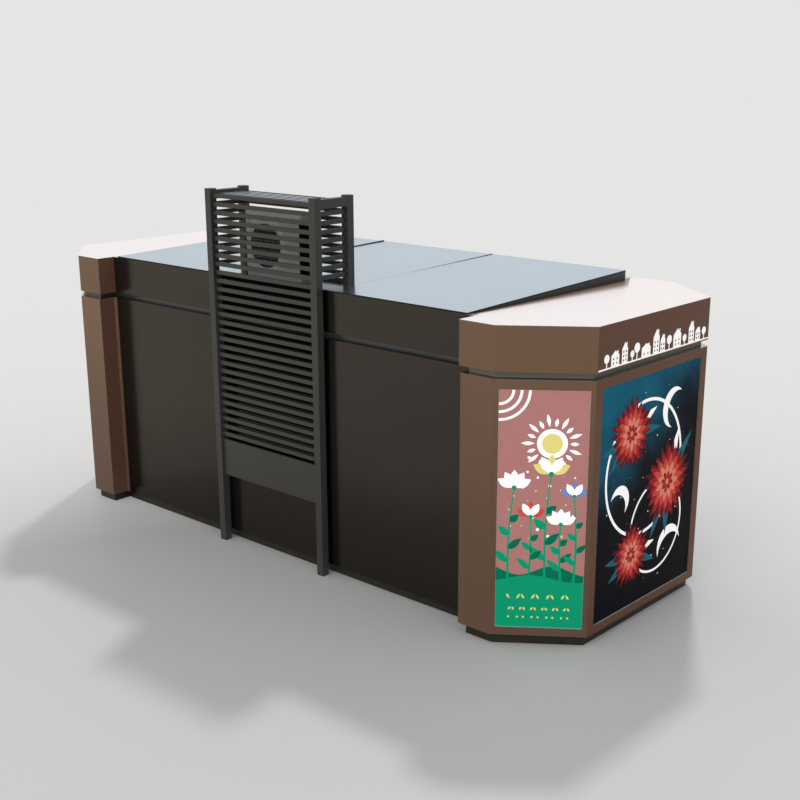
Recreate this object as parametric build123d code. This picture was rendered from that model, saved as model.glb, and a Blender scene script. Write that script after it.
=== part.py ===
"""Street kiosk: two faceted end pods, a recessed middle bay with a low wedge roof,
and a louvred screen behind it that hides an air-conditioning condenser.

Frame: X along the kiosk, +Y towards the serving front, Z up from the ground.
The origin is on the ground at the middle of the plan. All lengths are in millimetres.
"""

from build123d import *
import os

# Overall envelope
LENGTH = 6640
DEPTH = 2586
DECK_HEIGHT = 2600

# Horizontal bands, from the ground up: plinth, wall, reveal, header
PLINTH_HEIGHT = 90
REVEAL_HEIGHT = 54
HEADER_HEIGHT = 360

# Plan of the pods and the middle bay
POD_LENGTH = 962
CHAMFER_ALONG_X = 620
CHAMFER_ALONG_Y = 463
MIDDLE_RECESS = 188
BAND_INSET = 47
WALL_STEP = 18

# Plate thicknesses
WALL_THICKNESS = 60
BEAM_WIDTH = 60
CAP_THICKNESS = 10
FLOOR_THICKNESS = 30
PIER_FLANGE_WIDTH = 38
PIER_FLANGE_THICKNESS = 14

# Poster recesses
END_POSTER_MARGIN = 88
CHAMFER_POSTER_MARGIN = 41
POSTER_MARGIN_BELOW = 71
POSTER_MARGIN_ABOVE = 78
POSTER_RECESS = 16
POSTER_THICKNESS = 9
POSTER_CLEARANCE = 1

# Serving front
FRONT_SETBACK = 10
FRONT_POST_WIDTH = 75
SHUTTER_THICKNESS = 14
SHUTTER_RIB_DEPTH = 9
SHUTTER_RIB_COUNT = 28
SHUTTER_BAR_HEIGHT = 70
SHUTTER_BAR_THICKNESS = 36
SOFFIT_THICKNESS = 10

# Wedge roof
ROOF_SIDE_GAP = 75
ROOF_FRONT_SETBACK = 143
ROOF_SHEET = 13
ROOF_RISE = 69
ROOF_CENTRE_PANEL = 1460
ROOF_SEAM = 8
GABLE_THICKNESS = 40
GABLE_DROP = 120
RAFTER_WIDTH = 60
RAFTER_DEPTH = 80
UPSTAND_THICKNESS = 40

# Louvred screen
SCREEN_WIDTH = 1435
SCREEN_DEPTH = 464
SCREEN_HEADROOM = 178
SCREEN_GAP = 34
SCREEN_POST = 75
SLAT_HEIGHT = 38
SLAT_THICKNESS = 25
SLAT_PITCH = 77.2
SLAT_DROP = 43
SCREEN_PANEL_BOTTOM = 680
SCREEN_PANEL_HEIGHT = 357
RAIL_HEIGHT = 77
RAIL_DROP = 16
TOP_BAR_COUNT = 4

# Condenser in the cage
CONDENSER_WIDTH = 720
CONDENSER_HEIGHT = 565
CONDENSER_DEPTH = 240
CONDENSER_REAR_GAP = 10
CONDENSER_LIFT = 30
CONDENSER_CORNER = 18
LID_HEIGHT = 38
LID_OVERHANG = 4
LID_ROUND = 10
COIL_SLOT_COUNT = 9
COIL_SLOT_WIDTH = 9
COIL_SLOT_DEPTH = 14
COIL_MARGIN = 40
FAN_RADIUS = 212
FAN_OFFSET = 93
FAN_POCKET = 110
FAN_COLLAR = 9
FAN_COLLAR_HEIGHT = 12
GUARD_RIM = 12
GUARD_BAR = 6
GUARD_PITCH = 30
GUARD_THICKNESS = 8
FOOT_WIDTH = 45
FOOT_SPREAD = 480

OVERRUN = 5

# Levels and lines worked out from the driving sizes
HALF_LENGTH = LENGTH / 2
HALF_DEPTH = DEPTH / 2
HEADER_BOTTOM = DECK_HEIGHT - HEADER_HEIGHT
WALL_TOP = HEADER_BOTTOM - REVEAL_HEIGHT
CAP_BOTTOM = DECK_HEIGHT - CAP_THICKNESS
POD_INNER_X = HALF_LENGTH - POD_LENGTH
WALL_INNER_X = POD_INNER_X + WALL_STEP
CHAMFER_X = HALF_LENGTH - CHAMFER_ALONG_X
CHAMFER_Y = HALF_DEPTH - CHAMFER_ALONG_Y
MIDDLE_Y = HALF_DEPTH - MIDDLE_RECESS
MIDDLE_INNER_Y = MIDDLE_Y - WALL_THICKNESS
FRONT_Y = HALF_DEPTH - FRONT_SETBACK
FRONT_INNER_Y = FRONT_Y - WALL_THICKNESS

ROOF_HALF_LENGTH = POD_INNER_X - ROOF_SIDE_GAP
ROOF_REAR_Y = -MIDDLE_Y
ROOF_FRONT_Y = HALF_DEPTH - ROOF_FRONT_SETBACK
UPSTAND_INNER_Y = ROOF_FRONT_Y - UPSTAND_THICKNESS
ROOF_SLOPE = ROOF_RISE / (ROOF_FRONT_Y - ROOF_REAR_Y)
SEAM_X = ROOF_CENTRE_PANEL / 2


def roof_top(y):
    """Height of the roof's upper surface at a distance from the middle."""
    return DECK_HEIGHT + ROOF_SHEET + ROOF_SLOPE * (y - ROOF_REAR_Y)


def roof_underside(y):
    """Height of the roof sheet's lower surface."""
    return roof_top(y) - ROOF_SHEET


# The screen's lines. The cage is as tall as the condenser in it needs
SCREEN_HALF = SCREEN_WIDTH / 2
SCREEN_POST_X = SCREEN_HALF - SCREEN_POST / 2
SCREEN_INNER_X = SCREEN_HALF - SCREEN_POST
TALL_POST_BACK_Y = -MIDDLE_Y - SCREEN_GAP
TALL_POST_FRONT_Y = TALL_POST_BACK_Y - SCREEN_POST
ROOF_POST_BACK_Y = TALL_POST_FRONT_Y + SCREEN_DEPTH
ROOF_POST_FRONT_Y = ROOF_POST_BACK_Y - SCREEN_POST
REAR_SLAT_Y = TALL_POST_BACK_Y - SCREEN_POST / 2
CAGE_SLAT_Y = ROOF_POST_BACK_Y - SCREEN_POST / 2
CONDENSER_BACK_Y = CAGE_SLAT_Y - SLAT_THICKNESS / 2 - CONDENSER_REAR_GAP
CONDENSER_FRONT_Y = CONDENSER_BACK_Y - CONDENSER_DEPTH
CONDENSER_MIDDLE_Y = (CONDENSER_FRONT_Y + CONDENSER_BACK_Y) / 2
CONDENSER_BOTTOM = roof_top(CONDENSER_MIDDLE_Y) + CONDENSER_LIFT
CONDENSER_TOP = CONDENSER_BOTTOM + CONDENSER_HEIGHT
LID_BOTTOM = CONDENSER_TOP - LID_HEIGHT
SCREEN_HEIGHT = CONDENSER_TOP + SCREEN_HEADROOM
RAIL_TOP = SCREEN_HEIGHT - RAIL_DROP
RAIL_BOTTOM = RAIL_TOP - RAIL_HEIGHT
PANEL_TOP = SCREEN_PANEL_BOTTOM + SCREEN_PANEL_HEIGHT
TOP_SLAT_TOP = SCREEN_HEIGHT - SLAT_DROP
TOP_SLAT_Z = TOP_SLAT_TOP - SLAT_HEIGHT / 2
CAGE_SLAT_FACES_Y = (CAGE_SLAT_Y - SLAT_THICKNESS / 2, CAGE_SLAT_Y + SLAT_THICKNESS / 2)
SILL_TOP = roof_top(CAGE_SLAT_FACES_Y[1]) + SLAT_HEIGHT


def box(x_range, y_range, z_range):
    """A block between two values on each axis."""
    sizes = [high - low for low, high in (x_range, y_range, z_range)]
    centre = [(low + high) / 2 for low, high in (x_range, y_range, z_range)]
    return Pos(*centre) * Box(*sizes)


def prism(points, bottom, top):
    """A plan outline raised from one level to another."""
    outline = make_face(Polyline(*points, close=True))
    return Pos(0, 0, bottom) * extrude(outline, top - bottom)


def profile_along_x(points, x_range):
    """A (y, z) profile carried along X."""
    section = Plane.YZ.offset(x_range[0]) * make_face(Polyline(*points, close=True))
    return extrude(section, x_range[1] - x_range[0], dir=(1, 0, 0))


def inset_outline(points, inset):
    """A closed anticlockwise outline moved inwards, with its corners kept sharp."""
    moved = []
    for index, point in enumerate(points):
        here = Vector(*point)
        arriving = (here - Vector(*points[index - 1])).normalized()
        leaving = (Vector(*points[(index + 1) % len(points)]) - here).normalized()
        inward = Vector(-arriving.Y - leaving.Y, arriving.X + leaving.X)
        shifted = here + inward * (2 * inset / inward.dot(inward))
        moved.append((shifted.X, shifted.Y))
    return moved


def pod_outline(inner_x):
    """Plan of the right pod, anticlockwise from its rear inner corner."""
    return [
        (inner_x, -HALF_DEPTH),
        (CHAMFER_X, -HALF_DEPTH),
        (HALF_LENGTH, -CHAMFER_Y),
        (HALF_LENGTH, CHAMFER_Y),
        (CHAMFER_X, HALF_DEPTH),
        (inner_x, HALF_DEPTH),
    ]


def kiosk_outline():
    """Plan of the whole wall line: both pods and the recessed middle bay."""
    right = [
        (WALL_INNER_X, -MIDDLE_Y),
        *pod_outline(WALL_INNER_X),
        (WALL_INNER_X, MIDDLE_Y),
    ]
    return right + [(-x, -y) for x, y in right]


def ring(bottom, top):
    """A steel band set back from the wall line, all round the kiosk."""
    outer = prism(inset_outline(kiosk_outline(), BAND_INSET), bottom, top)
    inner_outline = inset_outline(kiosk_outline(), BAND_INSET + BEAM_WIDTH)
    return outer - prism(inner_outline, bottom - OVERRUN, top + OVERRUN)


def floor_deck():
    """The floor plate inside the base frame."""
    outline = inset_outline(kiosk_outline(), BAND_INSET + BEAM_WIDTH)
    return prism(outline, PLINTH_HEIGHT - FLOOR_THICKNESS, PLINTH_HEIGHT)


def rear_pier():
    """The right pod's rear corner: its rear face, the return to the middle bay
    and the narrow flange that laps the middle wall."""
    outline = pod_outline(WALL_INNER_X)
    inner = inset_outline(outline, WALL_THICKNESS)
    flange_y = -MIDDLE_Y - PIER_FLANGE_THICKNESS
    points = [
        outline[1],
        outline[0],
        (WALL_INNER_X, flange_y),
        (WALL_INNER_X - PIER_FLANGE_WIDTH, flange_y),
        (WALL_INNER_X - PIER_FLANGE_WIDTH, -MIDDLE_Y),
        (WALL_INNER_X, -MIDDLE_Y),
        (WALL_INNER_X, -MIDDLE_INNER_Y),
        (WALL_INNER_X + WALL_THICKNESS, -MIDDLE_INNER_Y),
        inner[0],
        inner[1],
    ]
    return prism(points, PLINTH_HEIGHT, WALL_TOP)


def poster_wall(corner, side_margin):
    """One facet of the right pod with a shallow recess, and the poster in it.
    The facet runs from this corner of the pod's outline to the next one."""
    outline = pod_outline(WALL_INNER_X)
    inner = inset_outline(outline, WALL_THICKNESS)
    start, end = Vector(*outline[corner]), Vector(*outline[corner + 1])
    facet = [outline[corner], outline[corner + 1], inner[corner + 1], inner[corner]]
    along = (end - start).normalized()
    recess_bottom = PLINTH_HEIGHT + POSTER_MARGIN_BELOW
    recess_top = WALL_TOP - POSTER_MARGIN_ABOVE
    width = (end - start).length - 2 * side_margin
    height = recess_top - recess_bottom
    middle = (start + end) / 2 + Vector(0, 0, (recess_bottom + recess_top) / 2)
    face = Plane(middle, x_dir=along, z_dir=Vector(along.Y, -along.X))
    cut = face * Box(width, height, 2 * POSTER_RECESS)
    wall = prism(facet, PLINTH_HEIGHT, WALL_TOP) - cut
    poster_face = face.offset(POSTER_THICKNESS / 2 - POSTER_RECESS)
    gap = 2 * POSTER_CLEARANCE
    poster = poster_face * Box(width - gap, height - gap, POSTER_THICKNESS)
    return wall, poster


def pod_header():
    """The right pod's brown header band, open towards the middle bay."""
    outline = pod_outline(POD_INNER_X)
    inner = inset_outline(outline, WALL_THICKNESS)
    band = prism(outline, HEADER_BOTTOM, CAP_BOTTOM)
    band -= prism(inner, HEADER_BOTTOM - OVERRUN, CAP_BOTTOM + OVERRUN)
    opening_x = (POD_INNER_X - OVERRUN, POD_INNER_X + WALL_THICKNESS + OVERRUN)
    opening_z = (HEADER_BOTTOM - OVERRUN, CAP_BOTTOM + OVERRUN)
    return band - box(opening_x, (-MIDDLE_INNER_Y, FRONT_INNER_Y), opening_z)


def pod_cap():
    """The right pod's pale top plate, which runs in to the wedge roof's gable."""
    points = pod_outline(POD_INNER_X) + [
        (POD_INNER_X, FRONT_Y),
        (ROOF_HALF_LENGTH, FRONT_Y),
        (ROOF_HALF_LENGTH, -MIDDLE_INNER_Y),
        (POD_INNER_X, -MIDDLE_INNER_Y),
    ]
    return prism(points, CAP_BOTTOM, DECK_HEIGHT)


def middle_walls():
    """The rear wall and the header bands at the rear and front of the middle bay."""
    wall_x = (-WALL_INNER_X, WALL_INNER_X)
    header_x = (-POD_INNER_X, POD_INNER_X)
    rear_y = (-MIDDLE_Y, -MIDDLE_INNER_Y)
    soffit_y = (MIDDLE_Y - BAND_INSET - BEAM_WIDTH, FRONT_INNER_Y)
    soffit_z = (HEADER_BOTTOM, HEADER_BOTTOM + SOFFIT_THICKNESS)
    return {
        "rear_wall": box(wall_x, rear_y, (PLINTH_HEIGHT, WALL_TOP)),
        "rear_fascia": box(header_x, rear_y, (HEADER_BOTTOM, DECK_HEIGHT)),
        "front_fascia": box(header_x, (FRONT_INNER_Y, FRONT_Y), (HEADER_BOTTOM, CAP_BOTTOM)),
        "front_soffit": box(header_x, soffit_y, soffit_z),
    }


def shutter_profile():
    """Section of a closed roller shutter: a flat back, bowed slats and a bottom bar."""
    middle_y = (MIDDLE_Y + MIDDLE_INNER_Y) / 2
    back_y = middle_y - SHUTTER_THICKNESS / 2
    face_y = back_y + SHUTTER_THICKNESS
    bar_top = PLINTH_HEIGHT + SHUTTER_BAR_HEIGHT
    rib = (WALL_TOP - bar_top) / SHUTTER_RIB_COUNT
    bar_y = (middle_y - SHUTTER_BAR_THICKNESS / 2, middle_y + SHUTTER_BAR_THICKNESS / 2)
    edges = [
        Polyline(
            (face_y, bar_top),
            (bar_y[1], bar_top),
            (bar_y[1], PLINTH_HEIGHT),
            (bar_y[0], PLINTH_HEIGHT),
            (bar_y[0], bar_top),
            (back_y, bar_top),
            (back_y, WALL_TOP),
            (face_y, WALL_TOP),
        )
    ]
    for index in range(SHUTTER_RIB_COUNT):
        low = bar_top + index * rib
        crest = (face_y + SHUTTER_RIB_DEPTH, low + rib / 2)
        edges.append(ThreePointArc((face_y, low), crest, (face_y, low + rib)))
    return make_face(edges)


def serving_front():
    """Two posts under the roof seams, with a closed roller shutter in each bay."""
    post_y = (MIDDLE_INNER_Y, MIDDLE_Y)
    post_z = (PLINTH_HEIGHT, WALL_TOP)
    half_post = FRONT_POST_WIDTH / 2
    posts = [box((x - half_post, x + half_post), post_y, post_z) for x in (-SEAM_X, SEAM_X)]
    bays = [
        (-WALL_INNER_X, -SEAM_X - half_post),
        (-SEAM_X + half_post, SEAM_X - half_post),
        (SEAM_X + half_post, WALL_INNER_X),
    ]
    shutters = []
    for low, high in bays:
        section = Plane.YZ.offset(low) * shutter_profile()
        shutters.append(extrude(section, high - low, dir=(1, 0, 0)))
    return {"front_posts": Compound(posts), "front_shutters": Compound(shutters)}


def roof_sheets():
    """Three sloping sheets with an open seam between neighbours."""
    profile = [
        (ROOF_REAR_Y, roof_underside(ROOF_REAR_Y)),
        (ROOF_FRONT_Y, roof_underside(ROOF_FRONT_Y)),
        (ROOF_FRONT_Y, roof_top(ROOF_FRONT_Y)),
        (ROOF_REAR_Y, roof_top(ROOF_REAR_Y)),
    ]
    half_seam = ROOF_SEAM / 2
    spans = [
        (-ROOF_HALF_LENGTH, -SEAM_X - half_seam),
        (-SEAM_X + half_seam, SEAM_X - half_seam),
        (SEAM_X + half_seam, ROOF_HALF_LENGTH),
    ]
    return Compound([profile_along_x(profile, span) for span in spans])


def roof_frame():
    """What carries the sheets: gables, rafters under the seams and a front upstand,
    with the flat deck that closes the front."""
    gable = [
        (-MIDDLE_INNER_Y, DECK_HEIGHT - GABLE_DROP),
        (FRONT_INNER_Y, DECK_HEIGHT - GABLE_DROP),
        (FRONT_INNER_Y, CAP_BOTTOM),
        (UPSTAND_INNER_Y, CAP_BOTTOM),
        (UPSTAND_INNER_Y, roof_underside(UPSTAND_INNER_Y)),
        (-MIDDLE_INNER_Y, roof_underside(-MIDDLE_INNER_Y)),
    ]
    rafter = [
        (-MIDDLE_INNER_Y, roof_underside(-MIDDLE_INNER_Y) - RAFTER_DEPTH),
        (UPSTAND_INNER_Y, roof_underside(UPSTAND_INNER_Y) - RAFTER_DEPTH),
        (UPSTAND_INNER_Y, roof_underside(UPSTAND_INNER_Y)),
        (-MIDDLE_INNER_Y, roof_underside(-MIDDLE_INNER_Y)),
    ]
    upstand = [
        (UPSTAND_INNER_Y, DECK_HEIGHT),
        (ROOF_FRONT_Y, DECK_HEIGHT),
        (ROOF_FRONT_Y, roof_underside(ROOF_FRONT_Y)),
        (UPSTAND_INNER_Y, roof_underside(UPSTAND_INNER_Y)),
    ]
    roof_x = (-ROOF_HALF_LENGTH, ROOF_HALF_LENGTH)
    right_gable = profile_along_x(gable, (ROOF_HALF_LENGTH - GABLE_THICKNESS, ROOF_HALF_LENGTH))
    half_rafter = RAFTER_WIDTH / 2
    rafters = [profile_along_x(rafter, (x - half_rafter, x + half_rafter)) for x in (-SEAM_X, SEAM_X)]
    return {
        "roof_gables": Compound([right_gable, mirror(right_gable, about=Plane.YZ)]),
        "roof_rafters": Compound(rafters),
        "roof_upstand": profile_along_x(upstand, roof_x),
        "front_deck": box(roof_x, (UPSTAND_INNER_Y, FRONT_Y), (CAP_BOTTOM, DECK_HEIGHT)),
    }


def slat_levels(lowest):
    """Heights of the middle of the slats, from the top one down to the last that clears a level by half a gap."""
    clear = lowest + (SLAT_PITCH - SLAT_HEIGHT) / 2
    count = int((TOP_SLAT_Z - SLAT_HEIGHT / 2 - clear) / SLAT_PITCH) + 1
    return [TOP_SLAT_Z - SLAT_PITCH * index for index in range(count)]


def screen_posts():
    """Two posts that stand on the ground and two that stand on the sloping roof."""
    roof_post = [
        (ROOF_POST_FRONT_Y, roof_top(ROOF_POST_FRONT_Y)),
        (ROOF_POST_BACK_Y, roof_top(ROOF_POST_BACK_Y)),
        (ROOF_POST_BACK_Y, SCREEN_HEIGHT),
        (ROOF_POST_FRONT_Y, SCREEN_HEIGHT),
    ]
    tall_y = (TALL_POST_FRONT_Y, TALL_POST_BACK_Y)
    tall_posts = []
    roof_posts = []
    for x_range in ((-SCREEN_HALF, -SCREEN_INNER_X), (SCREEN_INNER_X, SCREEN_HALF)):
        tall_posts.append(box(x_range, tall_y, (0, SCREEN_HEIGHT)))
        roof_posts.append(profile_along_x(roof_post, x_range))
    return {"screen_tall_posts": Compound(tall_posts), "screen_roof_posts": Compound(roof_posts)}


def slats_along_x(y, levels):
    """Level slats between the inner faces of a pair of posts."""
    x_range = (-SCREEN_INNER_X, SCREEN_INNER_X)
    y_range = (y - SLAT_THICKNESS / 2, y + SLAT_THICKNESS / 2)
    half = SLAT_HEIGHT / 2
    return Compound([box(x_range, y_range, (z - half, z + half)) for z in levels])


def sill_slat():
    """The lowest slat behind the condenser, cut to sit on the sloping roof."""
    near, far = CAGE_SLAT_FACES_Y
    section = [(near, roof_top(near)), (far, roof_top(far)), (far, SILL_TOP), (near, SILL_TOP)]
    return profile_along_x(section, (-SCREEN_INNER_X, SCREEN_INNER_X))


def slats_along_y(levels):
    """Level slats at both sides, between a tall post and the roof post behind it."""
    y_range = (TALL_POST_BACK_Y, ROOF_POST_FRONT_Y)
    half = SLAT_HEIGHT / 2
    slats = []
    for x in (-SCREEN_POST_X, SCREEN_POST_X):
        x_range = (x - SLAT_THICKNESS / 2, x + SLAT_THICKNESS / 2)
        slats.extend(box(x_range, y_range, (z - half, z + half)) for z in levels)
    return Compound(slats)


def screen_top():
    """The pair of deep side rails, and the flat bars between them, level with the top slats."""
    rail_y = (TALL_POST_BACK_Y, ROOF_POST_FRONT_Y)
    rail_z = (RAIL_BOTTOM, RAIL_TOP)
    rails = []
    for x_range in ((-SCREEN_HALF, -SCREEN_INNER_X), (SCREEN_INNER_X, SCREEN_HALF)):
        rails.append(box(x_range, rail_y, rail_z))
    step = (rail_y[1] - rail_y[0]) / TOP_BAR_COUNT
    bar_x = (-SCREEN_INNER_X, SCREEN_INNER_X)
    bar_z = (TOP_SLAT_TOP - SLAT_THICKNESS, TOP_SLAT_TOP)
    bars = []
    for index in range(TOP_BAR_COUNT):
        middle = rail_y[0] + step * (index + 1 / 2)
        bars.append(box(bar_x, (middle - SLAT_HEIGHT / 2, middle + SLAT_HEIGHT / 2), bar_z))
    return {"screen_side_rails": Compound(rails), "screen_top_bars": Compound(bars)}


def screen():
    """The louvred screen: a tall louvre to the rear and a slatted cage on the roof."""
    panel_y = (REAR_SLAT_Y - SLAT_THICKNESS / 2, REAR_SLAT_Y + SLAT_THICKNESS / 2)
    panel_z = (SCREEN_PANEL_BOTTOM, PANEL_TOP)
    cage_levels = slat_levels(SILL_TOP)
    side_levels = [z for z in cage_levels if z + SLAT_HEIGHT / 2 < RAIL_BOTTOM]
    return {
        **screen_posts(),
        **screen_top(),
        "screen_panel": box((-SCREEN_INNER_X, SCREEN_INNER_X), panel_y, panel_z),
        "rear_slats": slats_along_x(REAR_SLAT_Y, slat_levels(PANEL_TOP)),
        "cage_front_slats": Compound([*slats_along_x(CAGE_SLAT_Y, cage_levels), sill_slat()]),
        "cage_side_slats": slats_along_y(side_levels),
    }


def fan_guard():
    """A round guard with a square mesh, in the XY plane, facing +Z."""
    inner_radius = FAN_RADIUS - GUARD_RIM
    hole = GUARD_PITCH - GUARD_BAR
    across = 2 * int(FAN_RADIUS / GUARD_PITCH) + 1
    mesh_holes = GridLocations(GUARD_PITCH, GUARD_PITCH, across, across) * Rectangle(hole, hole)
    openings = Circle(inner_radius) & Sketch() + list(mesh_holes)
    return extrude(Circle(FAN_RADIUS) - openings, GUARD_THICKNESS)


def coil_slots():
    """Upright slots through which the coil breathes, down one end of the casing."""
    room = CONDENSER_DEPTH - 2 * COIL_MARGIN
    pitch = room / (COIL_SLOT_COUNT - 1)
    half = COIL_SLOT_WIDTH / 2
    x_range = (CONDENSER_WIDTH / 2 - COIL_SLOT_DEPTH, CONDENSER_WIDTH / 2 + OVERRUN)
    z_range = (CONDENSER_BOTTOM + COIL_MARGIN, LID_BOTTOM - COIL_MARGIN)
    slots = []
    for index in range(COIL_SLOT_COUNT):
        y = CONDENSER_FRONT_Y + COIL_MARGIN + index * pitch
        slots.append(box(x_range, (y - half, y + half), z_range))
    return slots


def condenser_casing(fan_face):
    """The casing with its fan recess, the collar round it and the coil slots at one end."""
    casing = box(
        (-CONDENSER_WIDTH / 2, CONDENSER_WIDTH / 2),
        (CONDENSER_FRONT_Y, CONDENSER_BACK_Y),
        (CONDENSER_BOTTOM, LID_BOTTOM),
    )
    casing = fillet(casing.edges().filter_by(Axis.Z), CONDENSER_CORNER)
    collar = Circle(FAN_RADIUS + FAN_COLLAR) - Circle(FAN_RADIUS)
    casing += fan_face * extrude(collar, FAN_COLLAR_HEIGHT)
    casing -= fan_face * extrude(Circle(FAN_RADIUS - GUARD_RIM), -FAN_POCKET)
    return casing - coil_slots()


def condenser_lid():
    """The cover on the casing, a little wider all round, with a rounded upper edge."""
    lid = box(
        (-CONDENSER_WIDTH / 2 - LID_OVERHANG, CONDENSER_WIDTH / 2 + LID_OVERHANG),
        (CONDENSER_FRONT_Y - LID_OVERHANG, CONDENSER_BACK_Y + LID_OVERHANG),
        (LID_BOTTOM, CONDENSER_TOP),
    )
    lid = fillet(lid.edges().filter_by(Axis.Z), CONDENSER_CORNER + LID_OVERHANG)
    return fillet(lid.faces().sort_by(Axis.Z)[-1].edges(), LID_ROUND)


def condenser():
    """The condenser's casing and lid, the guard over its fan recess and two feet."""
    fan_centre = (-FAN_OFFSET, CONDENSER_FRONT_Y, (CONDENSER_BOTTOM + LID_BOTTOM) / 2)
    fan_face = Plane(fan_centre, x_dir=(1, 0, 0), z_dir=(0, -1, 0))
    foot = [
        (CONDENSER_FRONT_Y, roof_top(CONDENSER_FRONT_Y)),
        (CONDENSER_BACK_Y, roof_top(CONDENSER_BACK_Y)),
        (CONDENSER_BACK_Y, CONDENSER_BOTTOM),
        (CONDENSER_FRONT_Y, CONDENSER_BOTTOM),
    ]
    feet = []
    for x in (-FOOT_SPREAD / 2, FOOT_SPREAD / 2):
        feet.append(profile_along_x(foot, (x - FOOT_WIDTH / 2, x + FOOT_WIDTH / 2)))
    return {
        "condenser_casing": condenser_casing(fan_face),
        "condenser_lid": condenser_lid(),
        "condenser_fan_guard": fan_face * fan_guard(),
        "condenser_feet": Compound(feet),
    }


def rear_and_front(shape):
    """A rear piece together with its mirror image at the front."""
    return Compound([shape, mirror(shape, about=Plane.XZ)])


def pods():
    """Both end pods. The right one is modelled and mirrored for the left."""
    rear_chamfer, rear_poster = poster_wall(1, CHAMFER_POSTER_MARGIN)
    end_wall, end_poster = poster_wall(2, END_POSTER_MARGIN)
    right = {
        "piers": rear_and_front(rear_pier()),
        "chamfer_walls": rear_and_front(rear_chamfer),
        "chamfer_posters": rear_and_front(rear_poster),
        "end_wall": end_wall,
        "end_poster": end_poster,
        "header": pod_header(),
        "cap": pod_cap(),
    }
    nodes = {f"right_{name}": shape for name, shape in right.items()}
    nodes.update({f"left_{name}": mirror(shape, about=Plane.YZ) for name, shape in right.items()})
    return nodes


def kiosk():
    """Every piece of the kiosk by its name."""
    return {
        "base_frame": ring(0, PLINTH_HEIGHT),
        "floor_deck": floor_deck(),
        "ring_beam": ring(WALL_TOP, HEADER_BOTTOM),
        **pods(),
        **middle_walls(),
        **serving_front(),
        "roof_sheets": roof_sheets(),
        **roof_frame(),
        **screen(),
        **condenser(),
    }


os.makedirs("parts", exist_ok=True)
for node, shape in kiosk().items():
    export_step(shape, f"parts/{node}.step")
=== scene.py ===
import math

import bmesh
import bpy
from bpy.props import FloatProperty, FloatVectorProperty, IntProperty, PointerProperty
from mathutils import Color, Matrix, Vector


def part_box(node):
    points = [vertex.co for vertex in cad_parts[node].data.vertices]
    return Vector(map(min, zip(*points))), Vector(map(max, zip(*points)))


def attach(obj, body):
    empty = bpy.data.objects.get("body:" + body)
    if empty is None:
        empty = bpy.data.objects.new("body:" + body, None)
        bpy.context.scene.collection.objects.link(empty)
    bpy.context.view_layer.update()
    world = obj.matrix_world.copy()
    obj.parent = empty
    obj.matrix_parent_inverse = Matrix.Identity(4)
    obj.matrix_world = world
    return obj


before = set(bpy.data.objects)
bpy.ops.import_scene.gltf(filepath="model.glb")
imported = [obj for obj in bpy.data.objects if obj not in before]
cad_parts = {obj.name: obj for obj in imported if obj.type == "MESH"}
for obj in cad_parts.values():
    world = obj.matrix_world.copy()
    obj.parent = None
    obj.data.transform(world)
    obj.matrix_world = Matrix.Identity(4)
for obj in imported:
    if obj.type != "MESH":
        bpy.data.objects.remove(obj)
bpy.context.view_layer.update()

bl_info = {
    "name": "Street Kiosk Dressing",
    "version": (1, 0, 0),
    "blender": (4, 5, 0),
    "location": "3D View > Sidebar > Kiosk",
    "description": "Finishes, printed films, pressed trim and studio for a street kiosk with two end pods",
    "category": "Object",
}

UP = Vector((0.0, 0.0, 1.0))
SIDES = {"right": 1.0, "left": -1.0}
ENDS = {"rear": -1.0, "front": 1.0}
GOLDEN_ANGLE = math.pi * (3.0 - math.sqrt(5.0))
DISPLAY_WHITE = 255.0
BLACK = (0.0, 0.0, 0.0)
WHITE = (1.0, 1.0, 1.0)
# Places closer than this, in metres, count as one
NEAR = 0.001


def srgb(display):
    """Linear colour of a display colour given from 0 to 255."""
    return tuple(Color([channel / DISPLAY_WHITE for channel in display]).from_srgb_to_scene_linear())


def colour_prop(name, description, display):
    """A colour that a user may change, with its default as a display colour."""
    return FloatVectorProperty(
        name=name, description=description, default=srgb(display), subtype="COLOR", size=3, min=0.0, max=1.0
    )


def length_prop(name, description, metres):
    """A length in metres that a user may change."""
    return FloatProperty(
        name=name, description=description, default=metres, unit="LENGTH", min=0.0, precision=4
    )


def angle_prop(name, description, degrees):
    """An angle that a user may change, with its default in degrees."""
    return FloatProperty(
        name=name, description=description, default=math.radians(degrees), subtype="ANGLE", unit="ROTATION"
    )


def factor_prop(name, description, value, high):
    """A plain number from nought upwards that a user may change."""
    return FloatProperty(name=name, description=description, default=value, min=0.0, max=high)


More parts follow.
